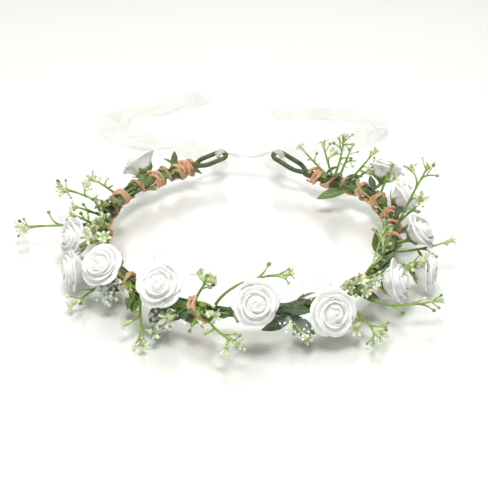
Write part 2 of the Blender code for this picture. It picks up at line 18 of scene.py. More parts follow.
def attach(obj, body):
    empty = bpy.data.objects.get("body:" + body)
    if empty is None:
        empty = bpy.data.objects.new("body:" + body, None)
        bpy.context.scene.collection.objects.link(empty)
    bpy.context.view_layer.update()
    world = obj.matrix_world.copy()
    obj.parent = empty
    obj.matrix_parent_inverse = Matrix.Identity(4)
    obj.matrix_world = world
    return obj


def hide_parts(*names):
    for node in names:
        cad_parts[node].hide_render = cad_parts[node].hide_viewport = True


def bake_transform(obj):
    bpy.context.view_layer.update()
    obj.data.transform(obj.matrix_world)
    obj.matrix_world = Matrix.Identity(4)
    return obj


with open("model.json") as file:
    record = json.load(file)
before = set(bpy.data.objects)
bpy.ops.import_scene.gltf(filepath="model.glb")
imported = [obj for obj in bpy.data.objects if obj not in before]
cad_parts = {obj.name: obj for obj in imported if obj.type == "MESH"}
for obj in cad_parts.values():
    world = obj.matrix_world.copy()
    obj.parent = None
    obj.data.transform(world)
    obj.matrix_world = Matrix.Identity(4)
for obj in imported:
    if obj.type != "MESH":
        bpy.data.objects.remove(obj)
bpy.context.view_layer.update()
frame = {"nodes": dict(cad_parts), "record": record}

# ---- the CAD model's sizes ----
RING_RADIUS = 0.090
BAND_HEIGHT = 0.0145
BAND_RADIUS = 0.00295
WRAP_RADIUS = 0.00445
TWINE_RADIUS = 0.0012
STRAND_OFFSET = 0.00095
EYE_RADIUS = 0.0016
ROSE_RADIUS = 0.0133
RIBBON_WIDTH = 0.025
GAP = 0.0003
LEFT, RIGHT = -1, 1
BAND_END = {LEFT: 155.0, RIGHT: 150.0}
FLAT_FROM, FLAT_TO = 118.0, 172.0
FLATTENING = {LEFT: 0.045, RIGHT: 0.12}
EYE_LENGTH = {LEFT: 0.024, RIGHT: 0.028}
EYE_HALF_WIDTH = 0.0048
EYE_NECK = 0.36
EYE_TILT = {LEFT: 8.0, RIGHT: 13.0}

HINGE = Vector(frame["record"]["behaviour"]["joints"][0]["pos_m"])
CENTRE = Vector((HINGE.x, HINGE.y + RING_RADIUS, 0))
HALF = {LEFT: "left_half", RIGHT: "right_half"}
WORD = {LEFT: "left", RIGHT: "right"}
TAPE_PITCH = 0.0062  # from one turn of the tape to the next
TABLE_SKIN = 0.0003  # nothing is drawn lower than this


def smooth(x):
    x = min(1.0, max(0.0, x))
    return x * x * (3 - 2 * x)


def mix(a, b, t):
    return a + (b - a) * t


def shares(count):
    """Evenly spaced numbers from 0 to 1."""
    return [i / (count - 1) for i in range(count)]


def side_to_side(count):
    """Evenly spaced numbers from -1 to 1."""
    return [2 * i / (count - 1) - 1 for i in range(count)]


def turns_of(count):
    """The angles of evenly spaced points round a circle."""
    return [math.tau * i / count for i in range(count)]


def turned(side, up, angle):
    """The direction at an angle from side towards up."""
    return side * math.cos(angle) + up * math.sin(angle)


def noise_at(*place):
    return noise.noise(Vector(place))


# ---- places on the band ----
def side_of(angle):
    return LEFT if angle < 0 else RIGHT


def outward(angle):
    a = math.radians(angle)
    return Vector((math.sin(a), -math.cos(a), 0))


def band_radius_at(angle):
    dip = math.sin(math.pi * min(1.0, max(0.0, (abs(angle) - FLAT_FROM) / (FLAT_TO - FLAT_FROM))))
    return RING_RADIUS * (1 - FLATTENING[side_of(angle)] * dip)


def band_centre(angle):
    return CENTRE + outward(angle) * band_radius_at(angle) + Vector((0, 0, BAND_HEIGHT))


def local_axes(angle):
    """(along, out, up) at an angle. Along is level and points the way that the angle grows."""
    ahead = band_centre(angle + 0.5) - band_centre(angle - 0.5)
    along = Vector((ahead.x, ahead.y, 0)).normalized()
    return along, Vector((along.y, -along.x, 0)), Vector((0, 0, 1))


def in_axes(angle, parts):
    return sum((axis * part for axis, part in zip(local_axes(angle), parts)), Vector())


def direction_at(angle, parts):
    return in_axes(angle, parts).normalized()


def section_point(angle, distance, round_angle):
    _, out, up = local_axes(angle)
    return band_centre(angle) + turned(out, up, math.radians(round_angle)) * distance


# ---- meshes ----
class Shape:
    """Points and faces with a material slot and a UV for each corner, collected into one object."""

    def __init__(self):
        self.points, self.faces, self.slots, self.uvs, self.tone = [], [], [], [], []

    def grid(self, rows, slot=0, wrap=False, length=1.0, tone=0.0):
        """Quads over rows of points. U runs along a row and V from the first row to the last."""
        first, n = len(self.points), len(rows[0])
        across = n if wrap else n - 1
        for i, row in enumerate(rows):
            self.points += row
            self.tone += [tone[i] if hasattr(tone, "__len__") else tone] * n
        for i in range(len(rows) - 1):
            for j in range(across):
                a, b = first + i * n + j, first + i * n + (j + 1) % n
                self.faces.append((a, b, b + n, a + n))
                self.slots.append(slot)
                v0, v1 = i * length / (len(rows) - 1), (i + 1) * length / (len(rows) - 1)
                u0, u1 = j / across, (j + 1) / across
                self.uvs += [(u0, v0), (u1, v0), (u1, v1), (u0, v1)]
        return first

    def cap(self, first, sides, tip, slot, turn_over=False):
        """A fan from a ring of points, the first with that number, to a tip."""
        top = len(self.points)
        self.points.append(tip)
        self.tone.append(0.0)
        for j in range(sides):
            a, b = first + j, first + (j + 1) % sides
            self.faces.append((b, a, top) if turn_over else (a, b, top))
            self.slots.append(slot)
            self.uvs += [(0, 0), (1, 0), (0.5, 1)]

    def bar(self, rings, tips, length, slot=0, tone=0.0):
        """A skin over rings of points, closed at both ends. Its V is in centimetres."""
        sides = len(rings[0])
        first = self.grid(rings, slot, wrap=True, length=length * 100, tone=tone)
        self.cap(first, sides, tips[0], slot, turn_over=True)
        self.cap(first + (len(rings) - 1) * sides, sides, tips[1], slot)

    def tube(self, path, radii, sides, slot=0, tone=0.0):
        """A round bar along a path, with blunt tips."""
        radii = radii if hasattr(radii, "__len__") else [radii] * len(path)
        rings = [[p + turned(side, up, a) * r for a in turns_of(sides)]
                 for p, r, (side, up) in zip(path, radii, frames_along(path))]
        tips = (path[0] + (path[0] - path[1]).normalized() * radii[0] * 0.5,
                path[-1] + (path[-1] - path[-2]).normalized() * radii[-1] * 0.5)
        self.bar(rings, tips, lengths_along(path)[-1], slot, tone)

    def drop(self, base, axis, radius, profile, sides, slot=0, tone=0.0):
        """A turned solid on an axis. The profile is (radius, height), in radii."""
        side = axis.orthogonal().normalized()
        up = axis.cross(side)
        rings = [[base + axis * radius * h + turned(side, up, a) * r * radius for a in turns_of(sides)]
                 for r, h in profile]
        self.grid(rings, slot, wrap=True, tone=tone)

    def object(self, name, materials):
        mesh = bpy.data.meshes.new(name)
        mesh.from_pydata([tuple(p) for p in self.points], [], self.faces)
        layer = mesh.uv_layers.new(name="UVMap")
        layer.data.foreach_set("uv", [x for uv in self.uvs for x in uv])
        tones = mesh.attributes.new("tone", "FLOAT", "POINT")
        tones.data.foreach_set("value", self.tone)
        for made in materials:
            mesh.materials.append(made)
        mesh.polygons.foreach_set("material_index", self.slots)
        mesh.shade_smooth()
        return add_object(name, mesh)


def add_object(name, data):
    made = bpy.data.objects.new(name, data)
    bpy.context.scene.collection.objects.link(made)
    return made


def heading(path, i):
    """The way that a path runs at one of its points."""
    return (path[min(i + 1, len(path) - 1)] - path[max(i - 1, 0)]).normalized()


def lengths_along(path):
    """How far along a path each of its points is."""
    steps = ((b - a).length for a, b in zip(path, path[1:]))
    return list(itertools.accumulate(steps, initial=0.0))


def frames_along(path):
    """A side and an up vector at each point of a path, turned as little as possible."""
    frames, side = [], None
    for i in range(len(path)):
        ahead = heading(path, i)
        if side is None:
            side = Vector((0, 0, 1)).cross(ahead)
            side = side if side.length > 0.1 else Vector((1, 0, 0)).cross(ahead)
        side = (side - ahead * side.dot(ahead)).normalized()
        frames.append((side, ahead.cross(side)))
    return frames


def through(points, spacing):
    """Points about that far apart along a smooth curve through the given ones."""
    out, last = [], len(points) - 1
    for i in range(last):
        p0, p1 = points[max(i - 1, 0)], points[i]
        p2, p3 = points[i + 1], points[min(i + 2, last)]
        count = max(2, round((p2 - p1).length / spacing) + 1)
        piece = interpolate_bezier(p1, p1 + (p2 - p0) / 6, p2 - (p3 - p1) / 6, p2, count)
        out += piece[: None if i == last - 1 else -1]
    return out


def soften(piece, thickness=0.0):
    """Rounds a mesh off and, if it is a sheet, gives it its thickness."""
    if thickness:
        skin = piece.modifiers.new("thickness", "SOLIDIFY")
        skin.thickness = thickness
        skin.offset = 0
    rounding = piece.modifiers.new("rounding", "SUBSURF")
    rounding.levels = rounding.render_levels = 1
    return piece


def settle(piece, slot, body, *nodes):
    """Hides the CAD nodes that a piece stands for and puts it on its body, or, with no body, bakes its
    place into its mesh: a piece across the joint has none. Its finish, slot, is not used.
    """
    if nodes:
        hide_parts(*nodes)
    if body:
        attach(piece, body)
    else:
        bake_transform(piece)


# ---- materials ----
class Nodes:
    """A material's node tree, with short calls for the nodes used here."""

    def __init__(self, name):
        self.material = bpy.data.materials.new(name)
        self.material.use_nodes = True
        self.tree = self.material.node_tree
        self.shader = self.tree.nodes["Principled BSDF"]

    def node(self, kind, inputs=None, **settings):
        made = self.tree.nodes.new("ShaderNode" + kind)
        for key, value in settings.items():
            setattr(made, key, value)
        for key, value in (inputs or {}).items():
            if isinstance(value, bpy.types.NodeSocket):
                self.tree.links.new(value, made.inputs[key])
            else:
                made.inputs[key].default_value = value
        return made

    def where(self, stretch=(1, 1, 1), uv=False):
        """Object or UV coordinates, stretched."""
        source = self.node("TexCoord").outputs["UV" if uv else "Object"]
        return self.node("Mapping", {"Vector": source, "Scale": stretch}).outputs["Vector"]

    def uv_parts(self):
        source = self.node("TexCoord").outputs["UV"]
        return self.node("SeparateXYZ", {"Vector": source}).outputs[:2]

    def tone(self):
        return self.node("Attribute", attribute_name="tone").outputs["Fac"]

    def noise(self, scale, detail=3.0, rough=0.55, where=None):
        inputs = {"Vector": where or self.where(), "Scale": scale, "Detail": detail, "Roughness": rough}
        return self.node("TexNoise", inputs).outputs["Fac"]

    def ramp(self, factor, stops):
        made = self.node("ValToRGB", {"Fac": factor})
        ramp = made.color_ramp
        while len(ramp.elements) < len(stops):
            ramp.elements.new(0.5)
        for element, (at, colour) in zip(ramp.elements, stops):
            element.position = at
            element.color = (*colour, 1)
        return made.outputs["Color"]

    def blend(self, factor, a, b, kind="MIX"):
        made = self.node("Mix", data_type="RGBA", blend_type=kind)
        for socket, value in ((0, factor), (6, a), (7, b)):
            if isinstance(value, bpy.types.NodeSocket):
                self.tree.links.new(value, made.inputs[socket])
            elif socket:
                made.inputs[socket].default_value = (*value, 1)
            else:
                made.inputs[socket].default_value = value
        return made.outputs[2]

    def maths(self, kind, a, b=0.0, c=0.0):
        return self.node("Math", {0: a, 1: b, 2: c}, operation=kind).outputs[0]

    def weighted(self, a, weight_a, b, weight_b):
        """A weighted sum of two values."""
        return self.maths("MULTIPLY_ADD", a, weight_a, self.maths("MULTIPLY", b, weight_b))

    def bump(self, height, strength, distance):
        inputs = {"Height": height, "Strength": strength, "Distance": distance}
        return self.node("Bump", inputs).outputs["Normal"]

    def set(self, **values):
        """Sets or links the shader's inputs: Base_Color=... and so on."""
        for key, value in values.items():
            socket = self.shader.inputs[key.replace("_", " ")]
            if isinstance(value, bpy.types.NodeSocket):
                self.tree.links.new(value, socket)
            else:
                socket.default_value = value


def tape_material():
    """Waxed crepe tape, wound on in overlapping turns, with a painted highlight on each turn's raised edge
    and painted shade in the step under it.
    """
    n = Nodes("floral_tape_look")
    u, v = n.uv_parts()
    lap = n.maths("FRACT", n.maths("MULTIPLY_ADD", v, 0.01 / TAPE_PITCH, u))
    crepe = n.noise(5.0, 4.0, where=n.where((40, 6, 1), uv=True))
    colour = n.ramp(n.noise(160.0), [(0.3, (0.046, 0.073, 0.026)), (0.7, (0.108, 0.158, 0.050))])
    # Painted highlight and shade: each lap is lighter at the raised edge of its turn and darker down in the
    # step under the next turn.
    edge = n.ramp(lap, [(0.0, (1.5, 1.5, 1.4)), (0.12, (1, 1, 1)), (0.94, (0.8, 0.8, 0.8)),
                        (1.0, (0.45, 0.45, 0.45))])
    n.set(Base_Color=n.blend(1.0, colour, edge, "MULTIPLY"), Roughness=0.52, Specular_IOR_Level=0.4,
          Normal=n.bump(n.weighted(lap, -0.7, crepe, 0.5), 0.6, 0.0004))
    return n.material


def twine_material():
    """Twisted paper cord: peach, with olive-beige stretches and fine fibres along the twist."""
    n = Nodes("paper_twine_look")
    patches = n.noise(120.0, 4.0)
    u, v = n.uv_parts()
    slant = n.maths("MULTIPLY_ADD", v, -0.9, u)
    twist = n.node("CombineXYZ", {"X": slant, "Y": n.maths("MULTIPLY", v, 0.25)})
    fibre = n.noise(26.0, 5.0, 0.7, where=twist.outputs["Vector"])
    peach = n.ramp(patches, [(0.25, (0.52, 0.24, 0.13)), (0.5, (0.72, 0.38, 0.22)),
                             (0.75, (0.82, 0.52, 0.34))])
    olive = n.ramp(patches, [(0.25, (0.32, 0.27, 0.10)), (0.75, (0.56, 0.49, 0.25))])
    lines = n.ramp(fibre, [(0.35, (0.55, 0.50, 0.47)), (0.58, (1.12, 1.12, 1.12))])
    n.set(Base_Color=n.blend(1.0, n.blend(n.tone(), peach, olive), lines, "MULTIPLY"), Roughness=0.78,
          Sheen_Weight=0.15, Normal=n.bump(fibre, 0.7, 0.0003))
    return n.material


def foam_material():
    """Soft white foam with painted shade: warmer and pinker down between the petals, where the tone is low.
    """
    n = Nodes("rose_foam_look")
    # The tone runs from 0 at a petal's base to 1 at its rim: the ramp is painted shade, darker and pinker
    # deep between the petals.
    colour = n.ramp(n.tone(), [(0.0, (0.86, 0.73, 0.68)), (0.45, (0.91, 0.865, 0.84)),
                               (0.8, (0.93, 0.92, 0.905)), (1.0, (0.94, 0.935, 0.925))])
    pores, sag = n.noise(2600.0, 2.0), n.noise(260.0, 2.0)
    n.set(Base_Color=colour, Roughness=0.62, Subsurface_Weight=0.4, Subsurface_Scale=0.002,
          Subsurface_Radius=(1.0, 0.93, 0.88), Sheen_Weight=0.2, Specular_IOR_Level=0.3,
          Normal=n.bump(n.weighted(pores, 0.25, sag, 1.0), 0.35, 0.0003))
    return n.material


def plastic_material(name, stops, roughness, subsurface=0.15):
    """Moulded soft plastic whose colour drifts along the sprig."""
    n = Nodes(name)
    factor = n.weighted(n.noise(210.0), 0.5, n.tone(), 0.6)
    n.set(Base_Color=n.ramp(factor, stops), Roughness=roughness, Subsurface_Weight=subsurface,
          Subsurface_Scale=0.001, Subsurface_Radius=(0.6, 1.0, 0.3),
          Normal=n.bump(n.noise(1500.0), 0.15, 0.0002))
    return n.material


def leaf_material(name, dark, light, vein):
    """Printed and pressed fabric: patches of green, pale raised veins and a weave."""
    n = Nodes(name)
    u, v = n.uv_parts()
    across = n.maths("ABSOLUTE", n.maths("MULTIPLY_ADD", u, 2, -1))
    saw = n.maths("ABSOLUTE", n.maths("SUBTRACT", n.maths("FRACT", n.weighted(v, 8.0, across, -1.7)), 0.5))
    side_veins, midrib = (n.ramp(way, [(0.0, (1, 1, 1)), (0.10, (0, 0, 0))]) for way in (saw, across))
    veins = n.blend(1.0, side_veins, midrib, "LIGHTEN")
    weave = n.node("TexWave", {"Vector": n.where((60, 90, 1), uv=True), "Scale": 1.0},
                   bands_direction="DIAGONAL").outputs["Fac"]
    body = n.ramp(n.noise(230.0, 4.0), [(0.3, dark), (0.7, light)])
    n.set(Base_Color=n.blend(n.maths("MULTIPLY", veins, 0.55), body, vein), Roughness=0.6,
          Sheen_Weight=0.1, Specular_IOR_Level=0.35,
          Normal=n.bump(n.weighted(veins, 0.8, weave, 0.15), 0.5, 0.0003))
    return n.material


def bead_material():
    """Clear moulded beads with a grey-green cast."""
    n = Nodes("bead_look")
    colour = n.ramp(n.noise(300.0, 2.0), [(0.35, (0.60, 0.68, 0.56)), (0.65, (0.93, 0.95, 0.91))])
    n.set(Base_Color=colour, Roughness=0.08, Transmission_Weight=0.3, IOR=1.45,
          Normal=n.bump(n.noise(500.0, 2.0), 0.1, 0.0003))
    return n.material


def cloth_material(name, colour, cover, weave, dots=None):
    """Sheer cloth: it covers that share of what is behind it, more at its folds and dots."""
    n = Nodes(name)
    threads = n.node("TexWave", {"Vector": n.where(weave, uv=True), "Scale": 1.0}).outputs["Fac"]
    share = n.maths("MULTIPLY", n.maths("MULTIPLY_ADD", threads, cover * 0.3, cover * 0.7),
                    n.maths("MULTIPLY_ADD", n.noise(90.0), 0.6, 0.7))
    share = n.maths("MULTIPLY_ADD", n.tone(), cover, share)
    tint = n.ramp(n.noise(60.0, 2.0), [(0.3, tuple(c * 0.93 for c in colour)), (0.7, colour)])
    if dots:
        cell_scale, dot_size = dots
        cells = n.node("TexVoronoi", {"Vector": n.where(), "Scale": cell_scale, "Randomness": 0.8})
        spot = n.maths("LESS_THAN", cells.outputs["Distance"], dot_size)
        share = n.maths("MAXIMUM", share, spot)
        tint = n.blend(spot, tint, (1.0, 1.0, 1.0))
        # The dots glow a little: painted light that keeps them bright white.
        n.set(Emission_Color=(1, 1, 1, 1), Emission_Strength=n.maths("MULTIPLY", spot, 0.35))
    n.set(Base_Color=tint, Roughness=0.6, Sheen_Weight=0.3, Alpha=share,
          Normal=n.bump(threads, 0.2, 0.0002))
    return n.material


def wire_material():
    """Drawn steel wire."""
    n = Nodes("wire_look")
    drawn = n.noise(3.0, 4.0, where=n.where((400, 400, 60)))
    n.set(Base_Color=n.ramp(drawn, [(0.3, (0.20, 0.20, 0.21)), (0.7, (0.38, 0.38, 0.39))]),
          Metallic=1.0, Roughness=0.38, Normal=n.bump(drawn, 0.2, 0.0001))
    return n.material


TAPE = tape_material()
TWINE = twine_material()
FOAM = foam_material()
STEM = plastic_material("sprig_stem_look", [(0.15, (0.085, 0.155, 0.022)), (0.5, (0.20, 0.32, 0.050)),
                                            (0.9, (0.42, 0.54, 0.15))], 0.36)
BUD = plastic_material("sprig_bud_look", [(0.25, (0.075, 0.14, 0.035)), (0.5, (0.28, 0.38, 0.09)),
                                          (0.75, (0.76, 0.80, 0.55))], 0.34)
STAR = plastic_material("sprig_star_look", [(0.22, (0.36, 0.50, 0.12)), (0.45, (0.74, 0.80, 0.50)),
                                            (0.75, (0.90, 0.92, 0.80))], 0.42, 0.3)
CUP = plastic_material("calyx_look", [(0.2, (0.10, 0.18, 0.04)), (0.8, (0.26, 0.38, 0.12))], 0.5)
LEAF = leaf_material("leaf_look", (0.060, 0.108, 0.024), (0.17, 0.25, 0.058), (0.44, 0.54, 0.27))
# A darker copy of the leaf look: a darker kind for some leaves at random, and painted shade on the leaves
# that sit in shade between the front roses.
DARK_LEAF_AND_PAINTED_SHADE = leaf_material("leaf_dark_and_painted_shade_look", (0.036, 0.062, 0.025), (0.085, 0.125, 0.050),
                          (0.24, 0.34, 0.20))
BEAD = bead_material()
TULLE = cloth_material("tulle_look", (0.93, 0.94, 0.95), 0.19, (420, 420, 1), dots=(360, 0.25))
ORGANZA = cloth_material("organza_look", (0.93, 0.92, 0.87), 0.38, (200, 1, 1))
WIRE = wire_material()


# ---- the band, its eyes and the twine ----
BAND_STEP, BAND_SIDES = 0.5, 30
TAPE_LAP = 0.00032
# Down each end of the band, where it is drawn in round the eye's root: how far, and its share of the
# band's radius.
BAND_TIP = [(0.0, 1.0), (0.0014, 0.93), (0.0026, 0.75), (0.0034, 0.5)]
EYE_SIDES = 16
LEG_OVERLAP = 0.001  # how far the eye's legs reach into the band


def eye_axes(side):
    end = side * BAND_END[side]
    along, out, up = local_axes(end)
    tilt = math.radians(EYE_TILT[side])
    return band_centre(end), along * side * math.cos(tilt) + up * math.sin(tilt), out


def eye_side_path(side):
    """The eye's centreline from its root, out along its outer side to the middle of its tip."""
    root, ahead, out = eye_axes(side)
    length, half = EYE_LENGTH[side], EYE_HALF_WIDTH
    neck = length * EYE_NECK
    start = root + out * STRAND_OFFSET
    leg = interpolate_bezier(start, start + ahead * neck * 0.3,
                             root + out * half + ahead * neck * 0.6, root + out * half + ahead * neck, 9)
    centre = root + ahead * (length - half)
    turn = [math.pi / 2 * i / 10 for i in range(11)]
    return leg + [centre + out * half * math.cos(a) + ahead * half * math.sin(a) for a in turn]


def build_eye(side):
    """The taped wire eye, with its two legs bound together where they meet the band."""
    root, ahead, out = eye_axes(side)
    outer = eye_side_path(side)
    path = outer + [p - out * 2 * (p - root).dot(out) for p in reversed(outer[:-1])]
    path[0] = path[0] - ahead * LEG_OVERLAP
    path[-1] = path[-1] - ahead * LEG_OVERLAP
    shape = Shape()
    shape.tube(path, [EYE_RADIUS * (1 + 0.05 * math.sin(i * 1.9)) for i in range(len(path))], EYE_SIDES)
    eye = shape.object(f"eye_wrap_{WORD[side]}", [TAPE])
    settle(eye, "floral_tape", HALF[side], f"eye_tape_{WORD[side]}")


def band_tip(side):
    root, ahead, _ = eye_axes(side)
    return [(root + ahead * distance, BAND_RADIUS * share) for distance, share in BAND_TIP]


def build_band():
    """The taped band, wound by hand, with real laps, and drawn in round the eyes' roots."""
    stations = band_tip(LEFT)[::-1]
    for i in range(1, int((BAND_END[LEFT] + BAND_END[RIGHT]) / BAND_STEP)):
        angle = BAND_STEP * i - BAND_END[LEFT]
        stations.append((band_centre(angle), BAND_RADIUS * (1.02 + 0.10 * noise_at(angle * 0.23, 0, 3))))
    path, radii = zip(*stations, *band_tip(RIGHT))
    runs = lengths_along(path)
    rings = []
    for p, r, run, (side, up) in zip(path, radii, runs, frames_along(path)):
        ring = []
        for j in range(BAND_SIDES):
            turn = j / BAND_SIDES
            lap = (run / TAPE_PITCH + turn) % 1.0
            skin = r - TAPE_LAP * smooth(lap * 1.1) + 0.00012 * noise_at(run * 700, turn * 9, 1)
            ring.append(p + turned(side, up, math.tau * turn) * skin)
        rings.append(ring)
    shape = Shape()
    shape.bar(rings, (path[0], path[-1]), runs[-1])
    settle(shape.object("band_wrap", [TAPE]), "floral_tape", None, "band_tape_left", "band_tape_right")


# Where each half's twine turns round the band: the middle of the turns, how many, and half the length
# of band that they take, in degrees round the ring.
TWINE_WRAPS = {
    LEFT: [(4, 1, 2.5), (34.5, 1, 2.5), (48, 1, 3), (64, 1, 2), (86, 2, 3), (112.5, 2, 3),
           (123, 1, 3.5), (138.5, 1, 3), (149, 3, 4)],
    RIGHT: [(9, 1, 2.5), (47, 1, 3), (80, 1, 3), (89.5, 1, 3), (97, 1, 3), (110, 1, 3),
            (121, 1, 2.5), (129, 1, 2.5), (143, 1, 3)],
}
TWINE_REST_ANGLE = 225.0
TWINE_FIRST, TWINE_LAST = 0.4, 1.5  # degrees left free at the joint and at the band's end
TWIST_PITCH, TWIST_LOBE = 0.0070, 0.24
STRAND_SIDES = 14
OVER_RADIUS = TWINE_RADIUS * 0.98
PEACH, OLIVE = -0.05, 0.28  # how olive the over-turns are: most of them, and every third one
# Turns of twine wound over the first ones: from and to which angle, the angle round the section that
# they start at, how many turns, and how far they stand off the first layer in mm.
OVER_TURNS = [
    (-142.5, -153.0, 60, 0.85, 1.2), (-143.5, -154.0, 122, 0.85, 1.3), (-145, -154.5, -5, 0.8, 1.2),
    (-130.5, -141.5, 85, 0.85, 1.1), (-131.5, -142.0, 150, 0.8, 1.3), (-131, -139.5, 20, 0.75, 1.1),
    (-109, -120, 40, 0.9, 0.5), (-101.5, -107, 80, 1.3, 0.4), (-83.5, -87.5, 150, 0.8, 0.9),
    (-82.5, -89, 230, -0.6, 1.5), (-52, -67, 20, 0.7, 0.6), (-12.5, -20.5, -120, 0.70, 1.8),
    (-14.5, -22.0, -95, 0.60, 1.1), (43, 52, 60, 0.8, 0.4), (95, 111, 170, -1.0, 0.9),
    (106, 123, 190, -1.1, 1.0), (118, 133, 200, -0.9, 0.9), (134, 139, 80, 0.8, 0.3),
    (141.5, 148, 60, 1.2, 0.3), (6.5, 14, 240, 0.22, 0.3),
]


def twine_angle(side, at):
    turns = sum(n * smooth((at - mid + half) / (2 * half)) for mid, n, half in TWINE_WRAPS[side])
    return TWINE_REST_ANGLE + 360 * turns


def twine_path(side):
    at, end, path = TWINE_FIRST, BAND_END[side] - TWINE_LAST, []
    while at < end:
        path.append(section_point(side * at, WRAP_RADIUS, twine_angle(side, at)))
        start, begun = at, twine_angle(side, at)
        while at < end and at - start < 0.7 and twine_angle(side, at) - begun < 12:
            at += 0.02
    return path


def over_path(first, last, round_from, turns, lift):
    """A loose turn's centreline, with both ends tucked into the band."""
    path = []
    for t in shares(max(16, round(abs(turns) * 30)) + 1):
        off = mix(BAND_RADIUS - 0.001, WRAP_RADIUS + lift / 1000, smooth(min(t, 1 - t) * 9))
        sway = 0.8 * math.sin(math.tau * t * 1.5 + round_from)
        path.append(section_point(mix(first, last, t) + sway, off, round_from + 360 * turns * t))
    return path


def strand(shape, path, radius, seed, olive=-0.02):
    """Twisted paper cord: a plump bar with two lobes that turn along it."""
    rings, tones, runs = [], [], lengths_along(path)
    for p, run, (side, up) in zip(path, runs, frames_along(path)):
        size = radius * (1 + 0.10 * noise_at(run * 260, seed, 0))
        twist = math.tau * run / TWIST_PITCH
        rings.append([p + turned(side, up, a) * size * (1 + TWIST_LOBE * math.cos(2 * a - twist))
                      for a in turns_of(STRAND_SIDES)])
        tones.append(smooth((noise_at(run * 34, seed, 5) + olive) * 4) * 0.9)
    shape.bar(rings, (path[0], path[-1]), runs[-1], tone=tones)


def build_twine(side):
    shape, over = Shape(), Shape()
    strand(shape, twine_path(side), TWINE_RADIUS, side)
    made = shape.object(f"twisted_twine_{WORD[side]}", [TWINE])
    settle(made, "paper_twine", None, f"twine_{WORD[side]}")
    for number, turn in enumerate(OVER_TURNS):
        if side_of(turn[0]) == side:
            strand(over, over_path(*turn), OVER_RADIUS, number * 3.3, OLIVE if number % 3 == 1 else PEACH)
    settle(over.object(f"twine_over_{WORD[side]}", [TWINE]), "paper_twine", HALF[side])


# Stalks of the flowers, bound in along the band: from and to which angle, and the angles round the
# section there.
BOUND_STALKS = [
    (-6, -24, 10, 50), (-5.5, -27, 60, 20), (-7, -20, -40, 10), (-8, -26, 90, 40), (24, 50, 60, 10),
    (-9, -30, 20, 70), (-12, -44, -50, -10), (-16, -52, 110, 60), (-40, -72, 10, 100),
    (-48, -84, 150, 110), (-58, -100, -20, 60), (-70, -112, 170, 130), (-88, -124, 80, 150),
    (-98, -136, 120, 60), (-104, -146, 190, 150), (-120, -152, 60, 110), (9, 34, -30, 30),
    (10, 30, 80, 40), (14, 48, 140, 90), (30, 62, -10, 60), (40, 78, 120, 150), (56, 90, 30, 90),
    (66, 104, 170, 110), (80, 118, 60, 130), (92, 130, 150, 200), (104, 142, 90, 40),
    (118, 146, 180, 120),
]


def build_stalks():
    for side in (LEFT, RIGHT):
        shape = Shape()
        for number, (first, last, round_first, round_last) in enumerate(BOUND_STALKS):
            if side_of(first) != side:
                continue
            path = []
            for t in shares(33):
                sink = 0.0008 * (1 - smooth(min(t, 1 - t) * 12))
                wave = 14 * noise_at(t * 4, number, 0)
                off = BAND_RADIUS + 0.00035 + 0.0004 * noise_at(t * 5, number, 7) - sink
                path.append(section_point(mix(first, last, t), off, mix(round_first, round_last, t) + wave))
            radius, tone = 0.00062 + 0.0001 * (number % 3), 0.1 + 0.12 * (number % 5)
            shape.tube(path, radius, 8, slot=number % 2, tone=tone)
        settle(shape.object(f"bound_stalks_{WORD[side]}", [STEM, TAPE]), "sprig_plastic", HALF[side])


# ---- roses ----
# Name, angle, mm out and up from the band's middle (None rests on the table), how far it faces outwards
# and upwards, how far it turns along the band, and its share of the full size.
ROSES = [
    ("back_left", -131.5, 11, 7.5, (0.8, 0.6), 0.1, 0.96),
    ("left", -79, 16.5, 3.5, (0.85, 0.5), 0.2, 1.0),
    ("left_low", -65.5, 21.5, None, (1.0, 0.1), -0.1, 0.94),
    ("left_front", -54, 12, 10, (0.55, 0.8), 0.25, 1.0),
    ("front_left", -29.5, 6.5, 14, (0.65, 0.75), 0.1, 1.0),
    ("front", 2.6, 8.5, 12, (0.8, 0.6), 0.05, 1.02),
    ("front_right", 26, 15.5, 3.5, (0.9, 0.55), -0.15, 1.06),
    ("right_front", 52.5, 15.5, 3, (0.95, 0.4), 0.45, 1.0),
    ("right_low", 66, 23.5, None, (1.0, 0.1), 0.2, 0.94),
    ("right", 77.5, 15, 10.5, (0.75, 0.7), 0.1, 0.9),
    ("right_back", 103.5, 12.5, 6.5, (0.8, 0.6), -0.1, 1.0),
    ("back_right", 118, 13.5, 12, (0.6, 0.8), 0.2, 0.94),
]
# A rose's petals from the middle out: (how many, rim radius, base radius, rim height, base height,
# half the angle that each takes, how far its rim rolls outwards), lengths in rose radii.
PETAL_RINGS = [
    (3, 0.53, 0.30, 0.49, -0.20, 82, 0.0),
    (3, 0.74, 0.38, 0.36, -0.30, 80, 0.05),
    (5, 0.91, 0.44, 0.15, -0.42, 56, 0.10),
]
PETAL_ROWS, PETAL_COLUMNS = 10, 13
PETAL_THICKNESS = 0.0010
HEART_ROWS, HEART_COLUMNS, HEART_TURNS = 8, 40, 1.08
# The turned solids in a rose's middle and round its whole head: (radius, height) in rose radii.
HEART_PROFILE = [(0.02, -0.49), (0.36, -0.46), (0.54, -0.30), (0.64, -0.10), (0.62, 0.08),
                 (0.48, 0.24), (0.28, 0.40), (0.14, 0.52), (0.0, 0.54)]
HEAD_PROFILE = [(0.0, -0.50), (0.42, -0.50), (0.88, -0.18), (1.0, 0.12), (0.84, 0.42),
                (0.45, 0.55), (0.0, 0.50)]
HEAD_SIDES = 12
LOW_ROSE_LIFT = 0.0009
SEPALS, SEPAL_ROWS, SEPAL_THICKNESS = 5, 7, 0.0003


